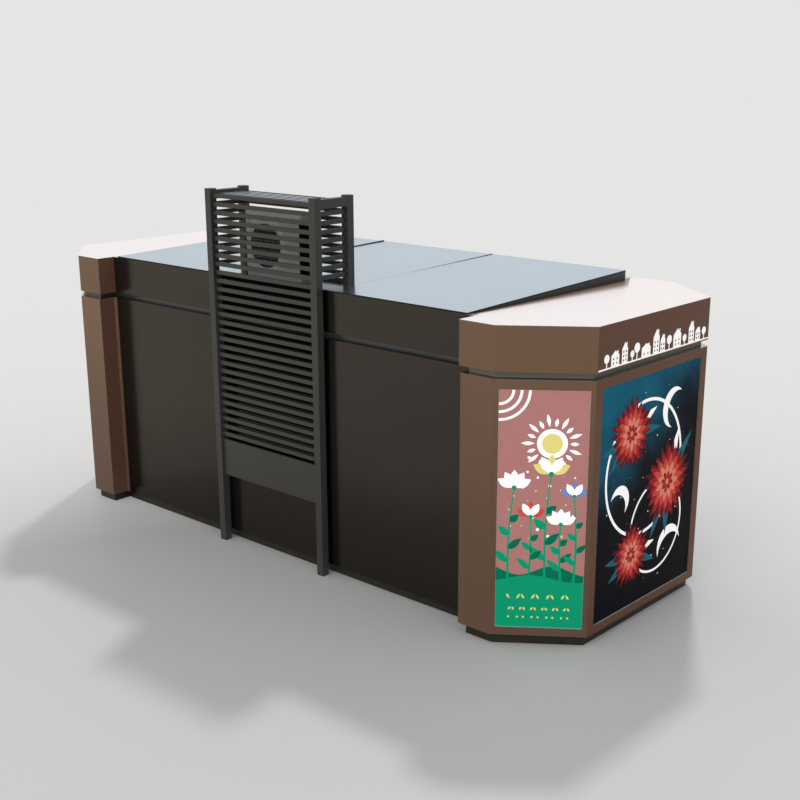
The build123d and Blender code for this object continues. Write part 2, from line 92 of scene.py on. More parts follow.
class KioskCoats(bpy.types.PropertyGroup):
    """Colours of the kiosk's coats and sheets, and of the painted light and shade laid on them."""

    pod: colour_prop("Pod brown", "Satin coat of the two end pods", (109, 82, 64))
    # Pale colour painted on the brown pods' tops as a painted reflection of the bright sky
    cap: colour_prop("Pod top", "Pale lacquer on the pods' flat tops", (255, 248, 247))
    wall: colour_prop("Wall", "Olive black sheet of the middle bay", (63, 58, 52))
    reveal: colour_prop("Reveal", "Olive ring beam set back under the headers", (66, 63, 55))
    plinth: colour_prop("Plinth", "Dark set-back plinth and posts", (32, 30, 25))
    roof: colour_prop("Roof", "Blue grey metal roof sheet", (194, 211, 226))
    # Shaded and lit copies of the pod brown: the outer ends painted darker and redder as painted shade, the
    # cheeks beside the bay in a copy lighter than the ends as painted light
    pod_end: colour_prop("Pod end", "Redder coat of the pods' outer ends", (98, 62, 41))
    pod_cheek: colour_prop("Pod cheek", "Coat of the pods' sheltered cheeks beside the bay", (105, 75, 60))
    # Blue grey painted on the ledges under the headers and in the ring beam's foot as a painted reflection
    # of the sky
    ledge: colour_prop("Ledge", "Blue grey dust on the ledge under the headers", (58, 62, 66))
    gable: colour_prop("Gable", "Charcoal gables and frame under the roof", (66, 66, 68))
    roof_edge: colour_prop("Roof edge", "Cut edge and folded lip of the roof sheets", (34, 33, 33))
    screen: colour_prop("Screen", "Charcoal coat of the louvred screen", (50, 49, 45))
    # A cooler, darker copy of the screen's charcoal for its end faces: painted shade
    screen_side: colour_prop("Screen side", "Cooler coat of the screen's end faces", (45, 47, 48))
    condenser: colour_prop("Condenser", "Grey casing of the cooling unit", (179, 178, 174))
    coil: colour_prop("Coil", "Black fins of the cooling unit's open end", (6, 6, 7))
    guard: colour_prop("Guard", "Grey coated wire of the fan guard", (86, 86, 84))
    shutter: colour_prop("Shutter", "Grey laths of the serving shutters", (120, 120, 116))
    floor: colour_prop("Floor board", "Inside floor boarding", (96, 88, 78))
    dust: colour_prop("Dust", "Pale street dust that settles low down", (150, 143, 132))


class KioskPrints(bpy.types.PropertyGroup):
    """Colours of the printed films."""

    mauve: colour_prop("Mauve", "Field of the tall chamfer prints", (187, 129, 125))
    green: colour_prop("Green", "Hills and stems of the chamfer prints", (10, 163, 118))
    deep_green: colour_prop("Deep green", "Shaded leaves of the chamfer prints", (0, 118, 88))
    white: colour_prop("White", "White ink and cut film", (250, 248, 246))
    yellow: colour_prop("Yellow", "Soft yellow ink", (246, 232, 140))
    coral: colour_prop("Coral", "Coral ink", (222, 84, 70))
    blue: colour_prop("Blue", "Soft blue ink", (112, 150, 214))
    teal: colour_prop("Teal", "Upper part of the end prints' night field", (16, 108, 138))
    navy: colour_prop("Navy", "Lower part of the end prints' night field", (7, 7, 16))
    wine: colour_prop("Wine", "Outer petals of the end prints", (104, 22, 32))
    red: colour_prop("Red", "Middle petals of the end prints", (176, 36, 42))
    blush: colour_prop("Blush", "Inner petals of the end prints", (244, 150, 124))
    leaf: colour_prop("Leaf", "Leaves of the end prints", (36, 112, 128))


class KioskDetail(bpy.types.PropertyGroup):
    """Sizes of the small detail that dresses the kiosk."""

    panel_edge: length_prop("Panel edge", "Rounding of folded panel edges", 0.0025)
    bar_edge: length_prop("Bar edge", "Rounding of posts and slats", 0.0018)
    film: length_prop("Film", "Thickness of one printed film", 0.0004)
    ink_step: length_prop("Ink step", "Rise of each film that lies over another", 0.0002)
    film_margin: length_prop("Film margin", "Bare edge of the backing round a film", 0.0015)
    lap: length_prop("Lap", "How far each roof sheet's edge strip laps the next sheet", 0.024)
    lap_root: length_prop("Lap root", "How far a strip reaches back over its own sheet", 0.045)
    rib: length_prop("Rib", "Width of a rib on the cooling unit's casing", 0.006)
    rib_pitch: length_prop("Rib pitch", "Spacing of the casing's ribs", 0.0165)
    fin_depth: length_prop("Fin depth", "Depth of the cooling unit's black fins at its open end", 0.016)
    bezel: length_prop("Bezel", "Reach of the pressed ring to each side of the fan guard's edge", 0.024)
    bezel_shift: length_prop("Bezel shift", "How far the pressed ring stands to the guard's right", 0.012)
    baseline: length_prop("Baseline", "Height of the line under the header's houses", 0.012)
    grain: IntProperty(name="Grain", description="Orange peel cells in a metre of coat", default=420, min=1)


class KioskStage(bpy.types.PropertyGroup):
    """Camera, lamps and floor."""

    camera_place: FloatVectorProperty(
        name="Camera", description="Where the camera stands", subtype="TRANSLATION", unit="LENGTH",
        default=(8.2460, -8.3943, 4.4096),
    )
    azimuth: angle_prop("Azimuth", "Turn of the camera round the kiosk", 41.6171)
    elevation: angle_prop("Elevation", "Height of the camera above the horizon", 16.2177)
    lens: FloatProperty(name="Lens", description="Focal length in millimetres", default=55.43, unit="CAMERA")
    shift_x: FloatProperty(name="Shift X", description="Sideways shift of the frame", default=-0.0221)
    shift_y: FloatProperty(name="Shift Y", description="Upward shift of the frame", default=0.0367)
    backdrop: colour_prop("Backdrop", "Pale backdrop behind the kiosk", (229, 229, 228))
    floor: colour_prop("Floor", "Pale studio floor", (204, 204, 204))
    ambient: factor_prop("Ambient", "Level of the soft light from all round", 0.62, 10.0)
    key: factor_prop("Key", "Strength of the lamp behind the kiosk", 1.175, 100.0)
    fill: factor_prop("Fill", "Strength of the lamp on the rear side", 1.1, 100.0)


def coats():
    """The coats' colours in use."""
    return bpy.context.scene.kiosk_coats


def prints():
    """The films' colours in use."""
    return bpy.context.scene.kiosk_prints


def detail():
    """The sizes in use."""
    return bpy.context.scene.kiosk_detail


# Nodes and shared shader groups


class Reading:
    """A value that varies over a surface: a socket of a shader tree that takes plain sums."""

    def __init__(self, socket):
        self.socket = socket
        self.tree = socket.id_data

    def calculate(self, operation, other=0.0, clamp=False):
        """This value and another, or a plain number, put through one math node."""
        values = {0: self, 1: other}
        node = add_node(self.tree, "ShaderNodeMath", values, operation=operation, use_clamp=clamp)
        return Reading(node.outputs[0])

    def __add__(self, other):
        return self.calculate("ADD", other)

    def __sub__(self, other):
        return self.calculate("SUBTRACT", other)

    def __mul__(self, other):
        return self.calculate("MULTIPLY", other)

    def __truediv__(self, other):
        return self.calculate("DIVIDE", other)

    def __gt__(self, other):
        return self.calculate("GREATER_THAN", other)

    def __lt__(self, other):
        return self.calculate("LESS_THAN", other)

    def __abs__(self):
        return self.calculate("ABSOLUTE")

    def spread(self, low, high, to_low=0.0, to_high=1.0, smooth=False):
        """This value carried from one range to another and held at its ends."""
        values = {0: self, 1: low, 2: high, 3: to_low, 4: to_high}
        kind = "SMOOTHSTEP" if smooth else "LINEAR"
        return Reading(add_node(self.tree, "ShaderNodeMapRange", values, interpolation_type=kind).outputs[0])

    def fade(self, low, high, smooth=False):
        """One below a range and nought above it."""
        return self.spread(low, high, 1.0, 0.0, smooth)

    def feed(self, socket):
        """Links this value to a node's input."""
        self.tree.links.new(self.socket, socket)


def add_node(tree, kind, values=None, **settings):
    """A new node with its settings, and its inputs set to constants or linked to what varies."""
    node = tree.nodes.new(kind)
    for key, value in settings.items():
        setattr(node, key, value)
    for key, value in (values or {}).items():
        source = value.socket if isinstance(value, Reading) else value
        if isinstance(source, bpy.types.NodeSocket):
            tree.links.new(source, node.inputs[key])
        else:
            node.inputs[key].default_value = value
    return node


def blend_colour(share, first, second):
    """Two colours mixed by a share that varies over the surface."""
    values = {0: share, 6: first, 7: second}
    return Reading(add_node(share.tree, "ShaderNodeMix", values, data_type="RGBA").outputs[2])


def object_place(tree):
    """Place on the piece, in metres."""
    return add_node(tree, "ShaderNodeTexCoord").outputs["Object"]


def true_normal(tree):
    """The way the surface faces, before any bump."""
    return add_node(tree, "ShaderNodeNewGeometry").outputs["True Normal"]


def split(vector):
    """A vector's parts along X, Y and Z."""
    return [Reading(part) for part in add_node(vector.id_data, "ShaderNodeSeparateXYZ", {0: vector}).outputs]


def axes(tree):
    """Place on the piece along X, Y and Z."""
    return split(object_place(tree))


def reach_of(vector):
    """A vector's length."""
    node = add_node(vector.id_data, "ShaderNodeVectorMath", {0: vector}, operation="LENGTH")
    return Reading(node.outputs["Value"])


def cloud(tree, scale, octaves, place=None):
    """Cloudy noise, over the piece unless another place is given."""
    vector = object_place(tree) if place is None else place
    values = {"Vector": vector, "Scale": scale, "Detail": octaves}
    return Reading(add_node(tree, "ShaderNodeTexNoise", values).outputs[0])


def new_group(name, inputs, outputs):
    """An empty shader group with float sockets: its tree, what it is given and where its results go."""
    tree = bpy.data.node_groups.new(name, "ShaderNodeTree")
    for label, default in inputs.items():
        socket = tree.interface.new_socket(label, in_out="INPUT", socket_type="NodeSocketFloat")
        socket.default_value = default
    for label in outputs:
        tree.interface.new_socket(label, in_out="OUTPUT", socket_type="NodeSocketFloat")
    return tree, tree.nodes.new("NodeGroupInput").outputs, tree.nodes.new("NodeGroupOutput").inputs


def coat_texture():
    """Orange peel height and a slow drift of tone over a coated sheet."""
    tree, given, out = new_group("coat_texture", {"Grain": 420.0, "Drift": 1.6}, ("Height", "Tone"))
    peel = cloud(tree, given["Grain"], 2.0)
    drift = cloud(tree, given["Drift"], 5.0).spread(0.3, 0.7, 0.0, 0.7)
    peel.feed(out["Height"])
    (peel * 0.3).calculate("ADD", drift, clamp=True).feed(out["Tone"])
    return tree


def foot_dust():
    """Dust that lies thickest at the ground and breaks up with height."""
    tree, given, out = new_group("foot_dust", {"Reach": 0.5}, ("Dust",))
    low = (axes(tree)[2] / given["Reach"]).fade(0.0, 1.0, smooth=True)
    (low * cloud(tree, 7.0, 6.0).spread(0.35, 0.75)).feed(out["Dust"])
    return tree


def edge_rub():
    """Rubbed outer edges, partly wear and partly painted highlight, found by rounding the surface and broken
    up by noise.
    """
    tree, given, out = new_group("edge_rub", {"Width": 0.006}, ("Rub",))
    rounded = add_node(tree, "ShaderNodeBevel", {"Radius": given["Width"]}, samples=4).outputs[0]
    values = {0: rounded, 1: true_normal(tree)}
    dot = add_node(tree, "ShaderNodeVectorMath", values, operation="DOT_PRODUCT").outputs["Value"]
    turn = Reading(dot).spread(0.99, 0.86)
    (turn * cloud(tree, 19.0, 6.0).spread(0.4, 0.65)).feed(out["Rub"])
    return tree


def rain_runs():
    """Faint upright runs that rain leaves on walls."""
    tree, given, out = new_group("rain_runs", {"Spacing": 26.0}, ("Run",))
    x, y, z = axes(tree)
    values = {0: x * given["Spacing"], 1: y * given["Spacing"], 2: z}
    place = add_node(tree, "ShaderNodeCombineXYZ", values).outputs[0]
    cloud(tree, 1.0, 4.0, place).spread(0.5, 0.8).feed(out["Run"])
    return tree


def street_grime():
    """Painted shade that darkens the long walls down towards the ground."""
    tree, given, out = new_group("street_grime", {"Full": 0.1, "Clean": 1.4}, ("Grime",))
    level = axes(tree)[2] + cloud(tree, 1.1, 3.0).spread(0.3, 0.7, -0.06, 0.06)
    across = abs(split(true_normal(tree))[1])
    (level.fade(given["Full"], given["Clean"]) * across.spread(0.0, 0.7)).feed(out["Grime"])
    return tree


def faces_up():
    """One on faces that look up, nought on upright faces."""
    tree, given, out = new_group("faces_up", {"Start": 0.6, "Full": 0.9}, ("Top",))
    split(true_normal(tree))[2].spread(given["Start"], given["Full"]).feed(out["Top"])
    return tree


def faces_along():
    """One on faces that look along the kiosk, nought on its long sides."""
    tree, given, out = new_group("faces_along", {"Start": 0.85, "Full": 0.97}, ("End",))
    abs(split(true_normal(tree))[0]).spread(given["Start"], given["Full"]).feed(out["End"])
    return tree


def use_group(tree, maker, **values):
    """What a shared group, made once, puts out in a material with its own values."""
    node = tree.nodes.new("ShaderNodeGroup")
    node.node_tree = bpy.data.node_groups.get(maker.__name__) or maker()
    for label, value in values.items():
        node.inputs[label].default_value = value
    return [Reading(socket) for socket in node.outputs]


def shade(colour, *factors):
    """A colour made darker or lighter by one factor, or by one for each of its channels."""
    return [channel * factor for channel, factor in zip(colour, factors * len(colour))]


def rgba(colour):
    """A colour for a socket."""
    return tuple(min(channel, 1.0) for channel in colour) + (1.0,)


# Depth of the orange peel at full relief, in metres
RELIEF_DEPTH = 0.001


class Coat:
    """A coated surface under construction: its material, its shader and the colour made so far."""

    def __init__(
        self, name, colour, roughness, drift=0.9, gloss_drift=0.06, grain=None, relief=0.04, slow=1.6
    ):
        self.material = bpy.data.materials.new(name)
        self.material.use_nodes = True
        self.tree = self.material.node_tree
        self.shader = self.tree.nodes["Principled BSDF"]
        height, tone = use_group(self.tree, coat_texture, Grain=float(grain or detail().grain), Drift=slow)
        self.colour = blend_colour(tone, rgba(colour), rgba(shade(colour, drift)))
        self.gloss = tone.spread(0.0, 1.0, roughness - gloss_drift, roughness + gloss_drift)
        self.gloss.feed(self.shader.inputs["Roughness"])
        values = {"Height": height, "Strength": relief, "Distance": RELIEF_DEPTH}
        Reading(add_node(self.tree, "ShaderNodeBump", values).outputs[0]).feed(self.shader.inputs["Normal"])

    def mask(self, maker, **values):
        """A shared group's mask on this coat."""
        return use_group(self.tree, maker, **values)[0]

    def lay(self, mask, colour, amount=1.0):
        """Lays another colour over the coat where a mask says."""
        self.colour = blend_colour(mask * amount, self.colour, rgba(colour))
        return self

    def dust(self, amount, reach):
        """Lays street dust on the coat's foot."""
        return self.lay(self.mask(foot_dust, Reach=reach), coats().dust, amount)

    def rub(self, amount, colour, width=0.006):
        """Lightens the coat's outer edges as wear and painted highlight."""
        return self.lay(self.mask(edge_rub, Width=width), colour, amount)

    def runs(self, amount, colour, spacing=26.0):
        """Streaks the coat with rain."""
        return self.lay(self.mask(rain_runs, Spacing=spacing), colour, amount)

    def grime(self, amount, full, clean):
        """Darkens the coat with painted shade towards the ground, from an unshaded height down to a full
        one.
        """
        return self.lay(self.mask(street_grime, Full=full, Clean=clean), BLACK, amount)

    def metal(self, mask):
        """Makes the coat metal where a mask says."""
        mask.feed(self.shader.inputs["Metallic"])
        return self

    def polish(self, mask, roughness):
        """Turns the coat to smooth metal where a mask says."""
        mixed = add_node(self.tree, "ShaderNodeMix", {0: mask, 2: self.gloss, 3: roughness})
        Reading(mixed.outputs[0]).feed(self.shader.inputs["Roughness"])
        return self.metal(mask)

    def done(self, constants=None):
        """Links the finished colour and sets the shader's plain values."""
        self.colour.feed(self.shader.inputs["Base Color"])
        for label, value in (constants or {}).items():
            self.shader.inputs[label].default_value = value
        return self.material


def known(maker):
    """A material made once and then reused by its maker's name."""
    return bpy.data.materials.get(maker.__name__) or maker()


# Coats, with their places and reaches in metres


WARM_GLOSS = {"Specular Tint": (1.0, 0.93, 0.82, 1.0)}
BROWN_GLOSS = {"Specular IOR Level": 0.35, "Specular Tint": (1.0, 0.89, 0.74, 1.0)}
# Heights between which the left pod's walls take painted light
LIT_HEIGHTS = (0.3, 1.5)
# How far the painted shade that deepens the outer ends reaches down from the headers
HEADER_SHADE_REACH = 0.3


def pod_coat():
    """Satin brown with painted light and shade: lighter on the left pod's walls, lit and shaded copies on
    the cheeks and the redder outer ends, deeper under the headers and darker towards the ground. Rain runs,
    dust and rubbed edges that are partly painted highlight, and ledges under the ring beam in the roof's
    blue grey as a painted sky reflection, made smooth metal.
    """
    colour, end_shade = coats().pod, coats().pod_end
    coat = Coat("pod_coat", colour, roughness=0.5, drift=0.94)
    x, _, z = axes(coat.tree)
    header_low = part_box("right_header")[0].z
    wall = z < header_low
    end = coat.mask(faces_along)
    outer = end * (abs(x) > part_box("right_end_wall")[0].x)
    # Painted light on the left pod's walls
    coat.lay(wall * (x < 0.0) * z.spread(*LIT_HEIGHTS), shade(colour, 1.2))
    # The cheeks take a lit copy of the brown and the outer ends a darker, redder copy: painted light and
    # shade
    coat.lay(end, coats().pod_cheek)
    coat.lay(outer, end_shade)
    # Painted shade deepens the outer ends under the headers
    high = z.spread(header_low - HEADER_SHADE_REACH, header_low)
    coat.lay(outer * high, shade(end_shade, 0.88, 0.8, 0.7))
    # Painted shade darkens the long walls towards the ground
    coat.grime(0.24, full=1.1, clean=2.35)
    coat.runs(0.06, shade(colour, 0.7))
    coat.dust(0.06, reach=0.4)
    # Rubbed edges, partly painted highlight
    coat.rub(0.2, shade(colour, 1.4))
    # Ledges painted in the roof's blue grey as a painted sky reflection, and made smooth metal
    ledge = coat.mask(faces_up) * wall
    return coat.lay(ledge, coats().roof).polish(ledge, roughness=0.15).done(BROWN_GLOSS)


# Reach of the painted shadow and reflection of the gable at the roof's rear and front edges, where it fades
# as shares of that reach, the slant of its front end, where that end fades past the roof, and the length of
# its rear end
GABLE_SHADE_REACHES = (0.032, 0.240)
GABLE_SHADE_FADE_SHARES = (0.55, 1.6)
GABLE_SHADE_SLANT = 1.7
GABLE_SHADE_FRONT_FADE = (0.06, 0.09)
GABLE_SHADE_REAR_FADE = 0.03
# Where the painted shade at the gable's foot starts to fade, and the least and most that it reaches
FOOT_SHADE_START = 0.02
FOOT_SHADE_LEAST = 0.03
FOOT_SHADE_MOST = 0.09
FOOT_SHADE_REACH_SHARE = 0.6


def cap_coat():
    """Brown top painted pale as a sky reflection and part metal so that it mirrors the roof gable, with ends
    in a darker shaded brown, a painted shadow and reflection of the gable beside its foot, and painted shade
    at the foot.
    """
    coat = Coat("cap_coat", coats().pod, roughness=0.28, drift=0.97, gloss_drift=0.02, relief=0.004)
    # End faces in a darker copy of the shaded end brown: painted shade
    coat.lay(coat.mask(faces_along), shade(coats().pod_end, 0.6))
    top = coat.mask(faces_up)
    # Top faces painted pale as a reflection of the bright sky
    coat.lay(top, coats().cap)
    x, y, _ = axes(coat.tree)
    away = abs(x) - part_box("right_cap")[0].x
    rear, front = (corner.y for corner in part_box("roof_sheets"))
    reach = y.spread(rear, front, *GABLE_SHADE_REACHES)
    front_end = (y + away * GABLE_SHADE_SLANT).fade(*(front + past for past in GABLE_SHADE_FRONT_FADE))
    beside = front_end * top * y.spread(rear, rear + GABLE_SHADE_REAR_FADE)
    # The bloom is a painted shadow and reflection of the gable on the top beside it
    bloom = (away / reach).fade(*GABLE_SHADE_FADE_SHARES, smooth=True)
    coat.lay(bloom * beside, shade(coats().pod, 1.8), amount=0.95)
    # Painted shade along the gable's foot
    near = (reach * FOOT_SHADE_REACH_SHARE).calculate("MINIMUM", FOOT_SHADE_MOST)
    foot_shade = away.fade(FOOT_SHADE_START, near.calculate("MAXIMUM", FOOT_SHADE_LEAST))
    coat.lay(foot_shade * beside, shade(coats().gable, 0.4))
    return coat.metal(top * 0.36).done()


# Where the painted shade behind the louvres fades past the posts, and beside the lower panel
LOUVRE_SHADE_FADE = (0.005, 0.04)
LOUVRE_SHADE_BY_PANEL = 0.02


def wall_panel():
    """Olive black sheet whose gloss shows the floor, darker towards the ground as painted shade, with
    painted shade behind the louvres, top faces in blue grey as a painted sky reflection and the fascia's top
    in the roof's colour.
    """
    coat = Coat("wall_panel", coats().wall, roughness=0.2, drift=0.93, gloss_drift=0.01, relief=0.006)
    # Painted shade towards the ground
    coat.grime(0.4, full=0.1, clean=1.3)
    x, y, z = axes(coat.tree)
    panel_low, panel_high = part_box("screen_panel")
    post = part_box("screen_tall_posts")[1].x
    # Painted shade behind the louvres and beside the posts
    behind = abs(x).fade(*(post + past for past in LOUVRE_SHADE_FADE), smooth=True) * (y < 0.0)
    by_post = abs(x).spread(panel_high.x, panel_high.x + LOUVRE_SHADE_BY_PANEL)
    louvred = z.spread(panel_low.z, panel_high.z)
    coat.lay(behind * louvred.calculate("MAXIMUM", by_post), BLACK, amount=0.75)
    top = coat.mask(faces_up)
    # Top faces painted blue grey as a sky reflection
    coat.lay(top, coats().ledge)
    coat.lay(top * (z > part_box("rear_fascia")[0].z), coats().roof)
    return coat.done({"Metallic": 0.8, **WARM_GLOSS})


# Height of the ring beam's foot, painted dark as shade and the ledge's reflection, along the bay and on the
# pods, and where it fades as shares
REVEAL_SHADE_FEET = (0.026, 0.007)
REVEAL_FADE_SHARES = (0.7, 1.3)


def reveal_coat():
    """Olive ring beam with painted light and shade: darker on the pods and on its end faces, lighter on the
    right pod, and a painted dark foot that is higher along the bay.
    """
    colour = coats().reveal
    coat = Coat("reveal_coat", colour, roughness=0.25, drift=0.92, relief=0.012)
    x, _, z = axes(coat.tree)
    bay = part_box("rear_fascia")[1].x
    pod = abs(x) > bay
    # Painted shade on the pods, painted light on the right pod, painted shade on the end faces
    coat.lay(pod, shade(colour, 0.8))
    coat.lay(x > bay, shade(colour, 1.9))
    coat.lay(coat.mask(faces_along), shade(colour, 0.75))
    # The dark foot is painted shade and the ledge's painted reflection
    level = (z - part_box("ring_beam")[0].z) / pod.spread(0.0, 1.0, *REVEAL_SHADE_FEET)
    return coat.lay(level.fade(*REVEAL_FADE_SHARES), shade(coats().ledge, 0.62)).done(WARM_GLOSS)


def plinth_coat():
    """Dark plinth with a little dust."""
    coat = Coat("plinth_coat", coats().plinth, roughness=0.4, drift=0.85, relief=0.02)
    return coat.dust(0.04, reach=0.1).done({"Specular IOR Level": 0.35, **WARM_GLOSS})


def gable_coat():
    """Charcoal gables and roof frame."""
    coat = Coat("gable_coat", coats().gable, roughness=0.4, drift=0.85, relief=0.02)
    return coat.done({"Specular IOR Level": 0.2})


# Depth of the lighter lip at the roof's two ends
ROOF_LIP = 0.01


def roof_coat():
    """Bright metal sheet with dark cut edges and the faint marks of dried rain."""
    colour, edge = coats().roof, coats().roof_edge
    coat = Coat("roof_coat", edge, roughness=0.24, gloss_drift=0.03, relief=0.006, slow=0.8)
    coat.lay(abs(axes(coat.tree)[0]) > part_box("roof_sheets")[1].x - ROOF_LIP, shade(edge, 2.4))
    top = coat.mask(faces_up)
    coat.lay(top, colour)
    coat.lay(cloud(coat.tree, 2.2, 7.0).spread(0.5, 0.8) * top, shade(colour, 0.85), amount=0.2)
    return coat.metal(top).done({"Specular IOR Level": 0.1})


# How far below the eave the screen's end faces take painted light
EAVE_LIGHT_FADE = 0.1


def screen_coat():
    """Charcoal powder coat with its end faces in a cooler, darker copy as painted shade, and painted light
    on them below the eave.
    """
    colour, side = coats().screen, coats().screen_side
    coat = Coat("screen_coat", colour, roughness=0.4, relief=0.03)
    end = coat.mask(faces_along)
    # End faces in the cooler, darker copy: painted shade
    coat.lay(end, side)
    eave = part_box("roof_sheets")[0].z
    # Painted light on the end faces below the eave
    coat.lay(end * axes(coat.tree)[2].fade(eave - EAVE_LIGHT_FADE, eave), shade(side, 1.9))
    coat.dust(0.05, reach=0.4)
    # Rubbed edges, partly painted highlight
    coat.rub(0.2, shade(colour, 1.6), width=0.004)
    return coat.done({"IOR": 1.45, **WARM_GLOSS})


def top_bar_coat():
    """Charcoal bars, darker than the screen, whose upper faces take the roof's blue grey and are made metal
    to catch bright reflections.
    """
    coat = Coat("top_bar_coat", shade(coats().screen, 0.35), roughness=0.3, relief=0.02)
    top = coat.mask(faces_up)
    return coat.lay(top, coats().roof, amount=0.85).metal(top * 0.9).done({"IOR": 1.45})


def casing_face():
    """Where the casing's flat front lies, behind the collar round its fan."""
    marks = {round(vertex.co.y, 4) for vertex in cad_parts["condenser_casing"].data.vertices}
    return sorted(marks)[1]


def fan_guard():
    """Middle and radius of the fan guard."""
    low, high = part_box("condenser_fan_guard")
    return (low + high) / 2, (high.x - low.x) / 2


def from_fan(tree):
    """How far a spot on the cooling unit lies from the fan's axis."""
    fan, _ = fan_guard()
    x, _, z = axes(tree)
    return reach_of(add_node(tree, "ShaderNodeCombineXYZ", {0: x - fan.x, 1: z - fan.z}).outputs[0])


# Where the casing's foot, painted darker as the slats' shade, fades, how far the collar stands out before it
# is painted darker as shade, the gap from the guard to the pocket painted black as shade, and half that
# pocket's depth as a share of the casing's
CASING_SHADE_FADE = (0.02, 0.05)
COLLAR_STEP = 0.002
POCKET_GAP = 0.001
POCKET_SHARE = 0.25
BLACK_ROUGHNESS = 0.6


def condenser_coat():
    """Grey casing with rain runs, a darker lid, a foot and collar painted darker as shade, black coil fins
    on its open end, and the pocket behind the fan painted black as shade.
    """
    colour = coats().condenser
    coat = Coat("condenser_coat", colour, roughness=0.5)
    coat.runs(0.2, shade(colour, 0.6), spacing=60.0)
    x, y, z = axes(coat.tree)
    low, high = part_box("condenser_casing")
    lid = z > high.z
    coat.lay(lid, shade(colour, 0.8))
    # Painted shade of the slats on the casing's foot
    coat.lay(z.fade(*(low.z + rise for rise in CASING_SHADE_FADE)), shade(colour, 0.5))
    # Collar painted darker as shade
    collar = y < casing_face() - COLLAR_STEP
    coat.lay(collar * lid.fade(0.0, 1.0), shade(colour, 0.75))
    fin_depth = detail().fin_depth
    middle = (low.z + high.z) / 2
    coil = (x > high.x - fin_depth) * (abs(z - middle) < high.z - middle - fin_depth)
    # The pocket behind the fan is painted black as shade
    reach = POCKET_SHARE * (high.y - low.y)
    pocket_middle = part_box("condenser_fan_guard")[1].y + POCKET_GAP + reach
    pocket = (from_fan(coat.tree) < fan_guard()[1]) * (abs(y - pocket_middle) < reach)
    black = coil.calculate("MAXIMUM", pocket)
    return coat.lay(black, coats().coil).polish(black, BLACK_ROUGHNESS).done()


# Where the guard's rim starts, as a share of its radius
RIM_SHARE = 0.95


def guard_coat():
    """Grey wire mesh in a black rim."""
    coat = Coat("guard_coat", coats().guard, roughness=0.4, drift=0.8)
    rim = from_fan(coat.tree) > RIM_SHARE * fan_guard()[1]
    return coat.lay(rim, coats().coil).polish(rim, BLACK_ROUGHNESS).done()


def shutter_coat():
    """Grey laths with rain runs and a dusty foot."""
    colour = coats().shutter
    coat = Coat("shutter_coat", colour, roughness=0.38, drift=0.92)
    return coat.runs(0.18, shade(colour, 0.7)).dust(0.3, reach=0.5).done({"Metallic": 0.35})


HALF_BOARD = 0.07
BOARD_JOINT = 0.003


def floor_board():
    """Sealed boarding with joints along the kiosk."""
    colour = coats().floor
    coat = Coat("floor_board", colour, roughness=0.55, drift=0.8)
    joint = axes(coat.tree)[1].calculate("PINGPONG", HALF_BOARD).fade(0.0, BOARD_JOINT)
    return coat.lay(joint, shade(colour, 0.3)).done()


def backing_board():
    """Pale panel behind the printed films."""
    return Coat("backing_board", prints().white, roughness=0.4).done()


MATT_FILM = {"Specular IOR Level": 0.06}
FILM_ROUGHNESS = 0.55
FILM_RELIEF = 0.008
WHITE_PAINTED_GLOW = 0.34


def film_ink(name, colour, glow=0.0):
    """Ink on matt film. White ink glows a little, as painted light."""
    label = "film_" + name
    made = bpy.data.materials.get(label)
    if made is None:
        coat = Coat(label, colour, FILM_ROUGHNESS, drift=0.95, relief=FILM_RELIEF, slow=6.0)
        if glow:
            coat.colour.feed(coat.shader.inputs["Emission Color"])
        made = coat.done({**MATT_FILM, "Emission Strength": glow})
    return made


def plain_inks(*names):
    """Films in some of the print colours."""
    return {name: film_ink(name, getattr(prints(), name)) for name in names}


def white_film():
    """White film that glows a little as painted light."""
    return film_ink("white", prints().white, WHITE_PAINTED_GLOW)


# The night sky's lean, the heights between which it deepens, the swing of its haze and its stars
SKY_LEAN = -0.55
SKY_HEIGHTS = (1.15, 0.05)
HAZE_SWING = (-0.28, 0.28)
STARS_IN_A_METRE = 17.0
STAR_RADIUS_SHARE = 0.055


def night_film():
    """Teal night sky that deepens to navy, with drifting haze and fine stars."""
    coat = Coat("night_film", prints().teal, FILM_ROUGHNESS, drift=0.75, relief=FILM_RELIEF, slow=3.0)
    tree = coat.tree
    x, y, _ = axes(tree)
    level = y + x * SKY_LEAN + cloud(tree, 2.2, 5.0).spread(0.3, 0.7, *HAZE_SWING)
    coat.lay(level.spread(*SKY_HEIGHTS, smooth=True), prints().navy)
    values = {"Vector": object_place(tree), "Scale": STARS_IN_A_METRE}
    star = add_node(tree, "ShaderNodeTexVoronoi", values).outputs
    draw = Reading(add_node(tree, "ShaderNodeSeparateColor", {0: star["Color"]}).outputs[0])
    shine = Reading(star["Distance"]) < draw.spread(0.6, 1.0, 0.0, STAR_RADIUS_SHARE)
    return coat.lay(shine, prints().white, amount=0.7).done(MATT_FILM)


# Meshes


WELD_REACH = 0.00001
SHARP_EDGE = math.radians(35.0)


def dress(nodes, material, edge=0.0):
    """Gives CAD nodes a finish and softens their edges."""
    for node in nodes:
        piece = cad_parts[node]
        piece.data.materials.clear()
        piece.data.materials.append(material)
        if edge:
            soften(piece, edge)


def soften(piece, width):
    """Rounds the sharp edges of a piece."""
    piece.modifiers.new("weld", "WELD").merge_threshold = WELD_REACH
    bevel = piece.modifiers.new("rounded_edges", "BEVEL")
    bevel.width = width
    bevel.segments = 2
    bevel.limit_method = "ANGLE"
    bevel.angle_limit = SHARP_EDGE
    bevel.use_clamp_overlap = True
    piece.modifiers.new("shading", "WEIGHTED_NORMAL").keep_sharp = False


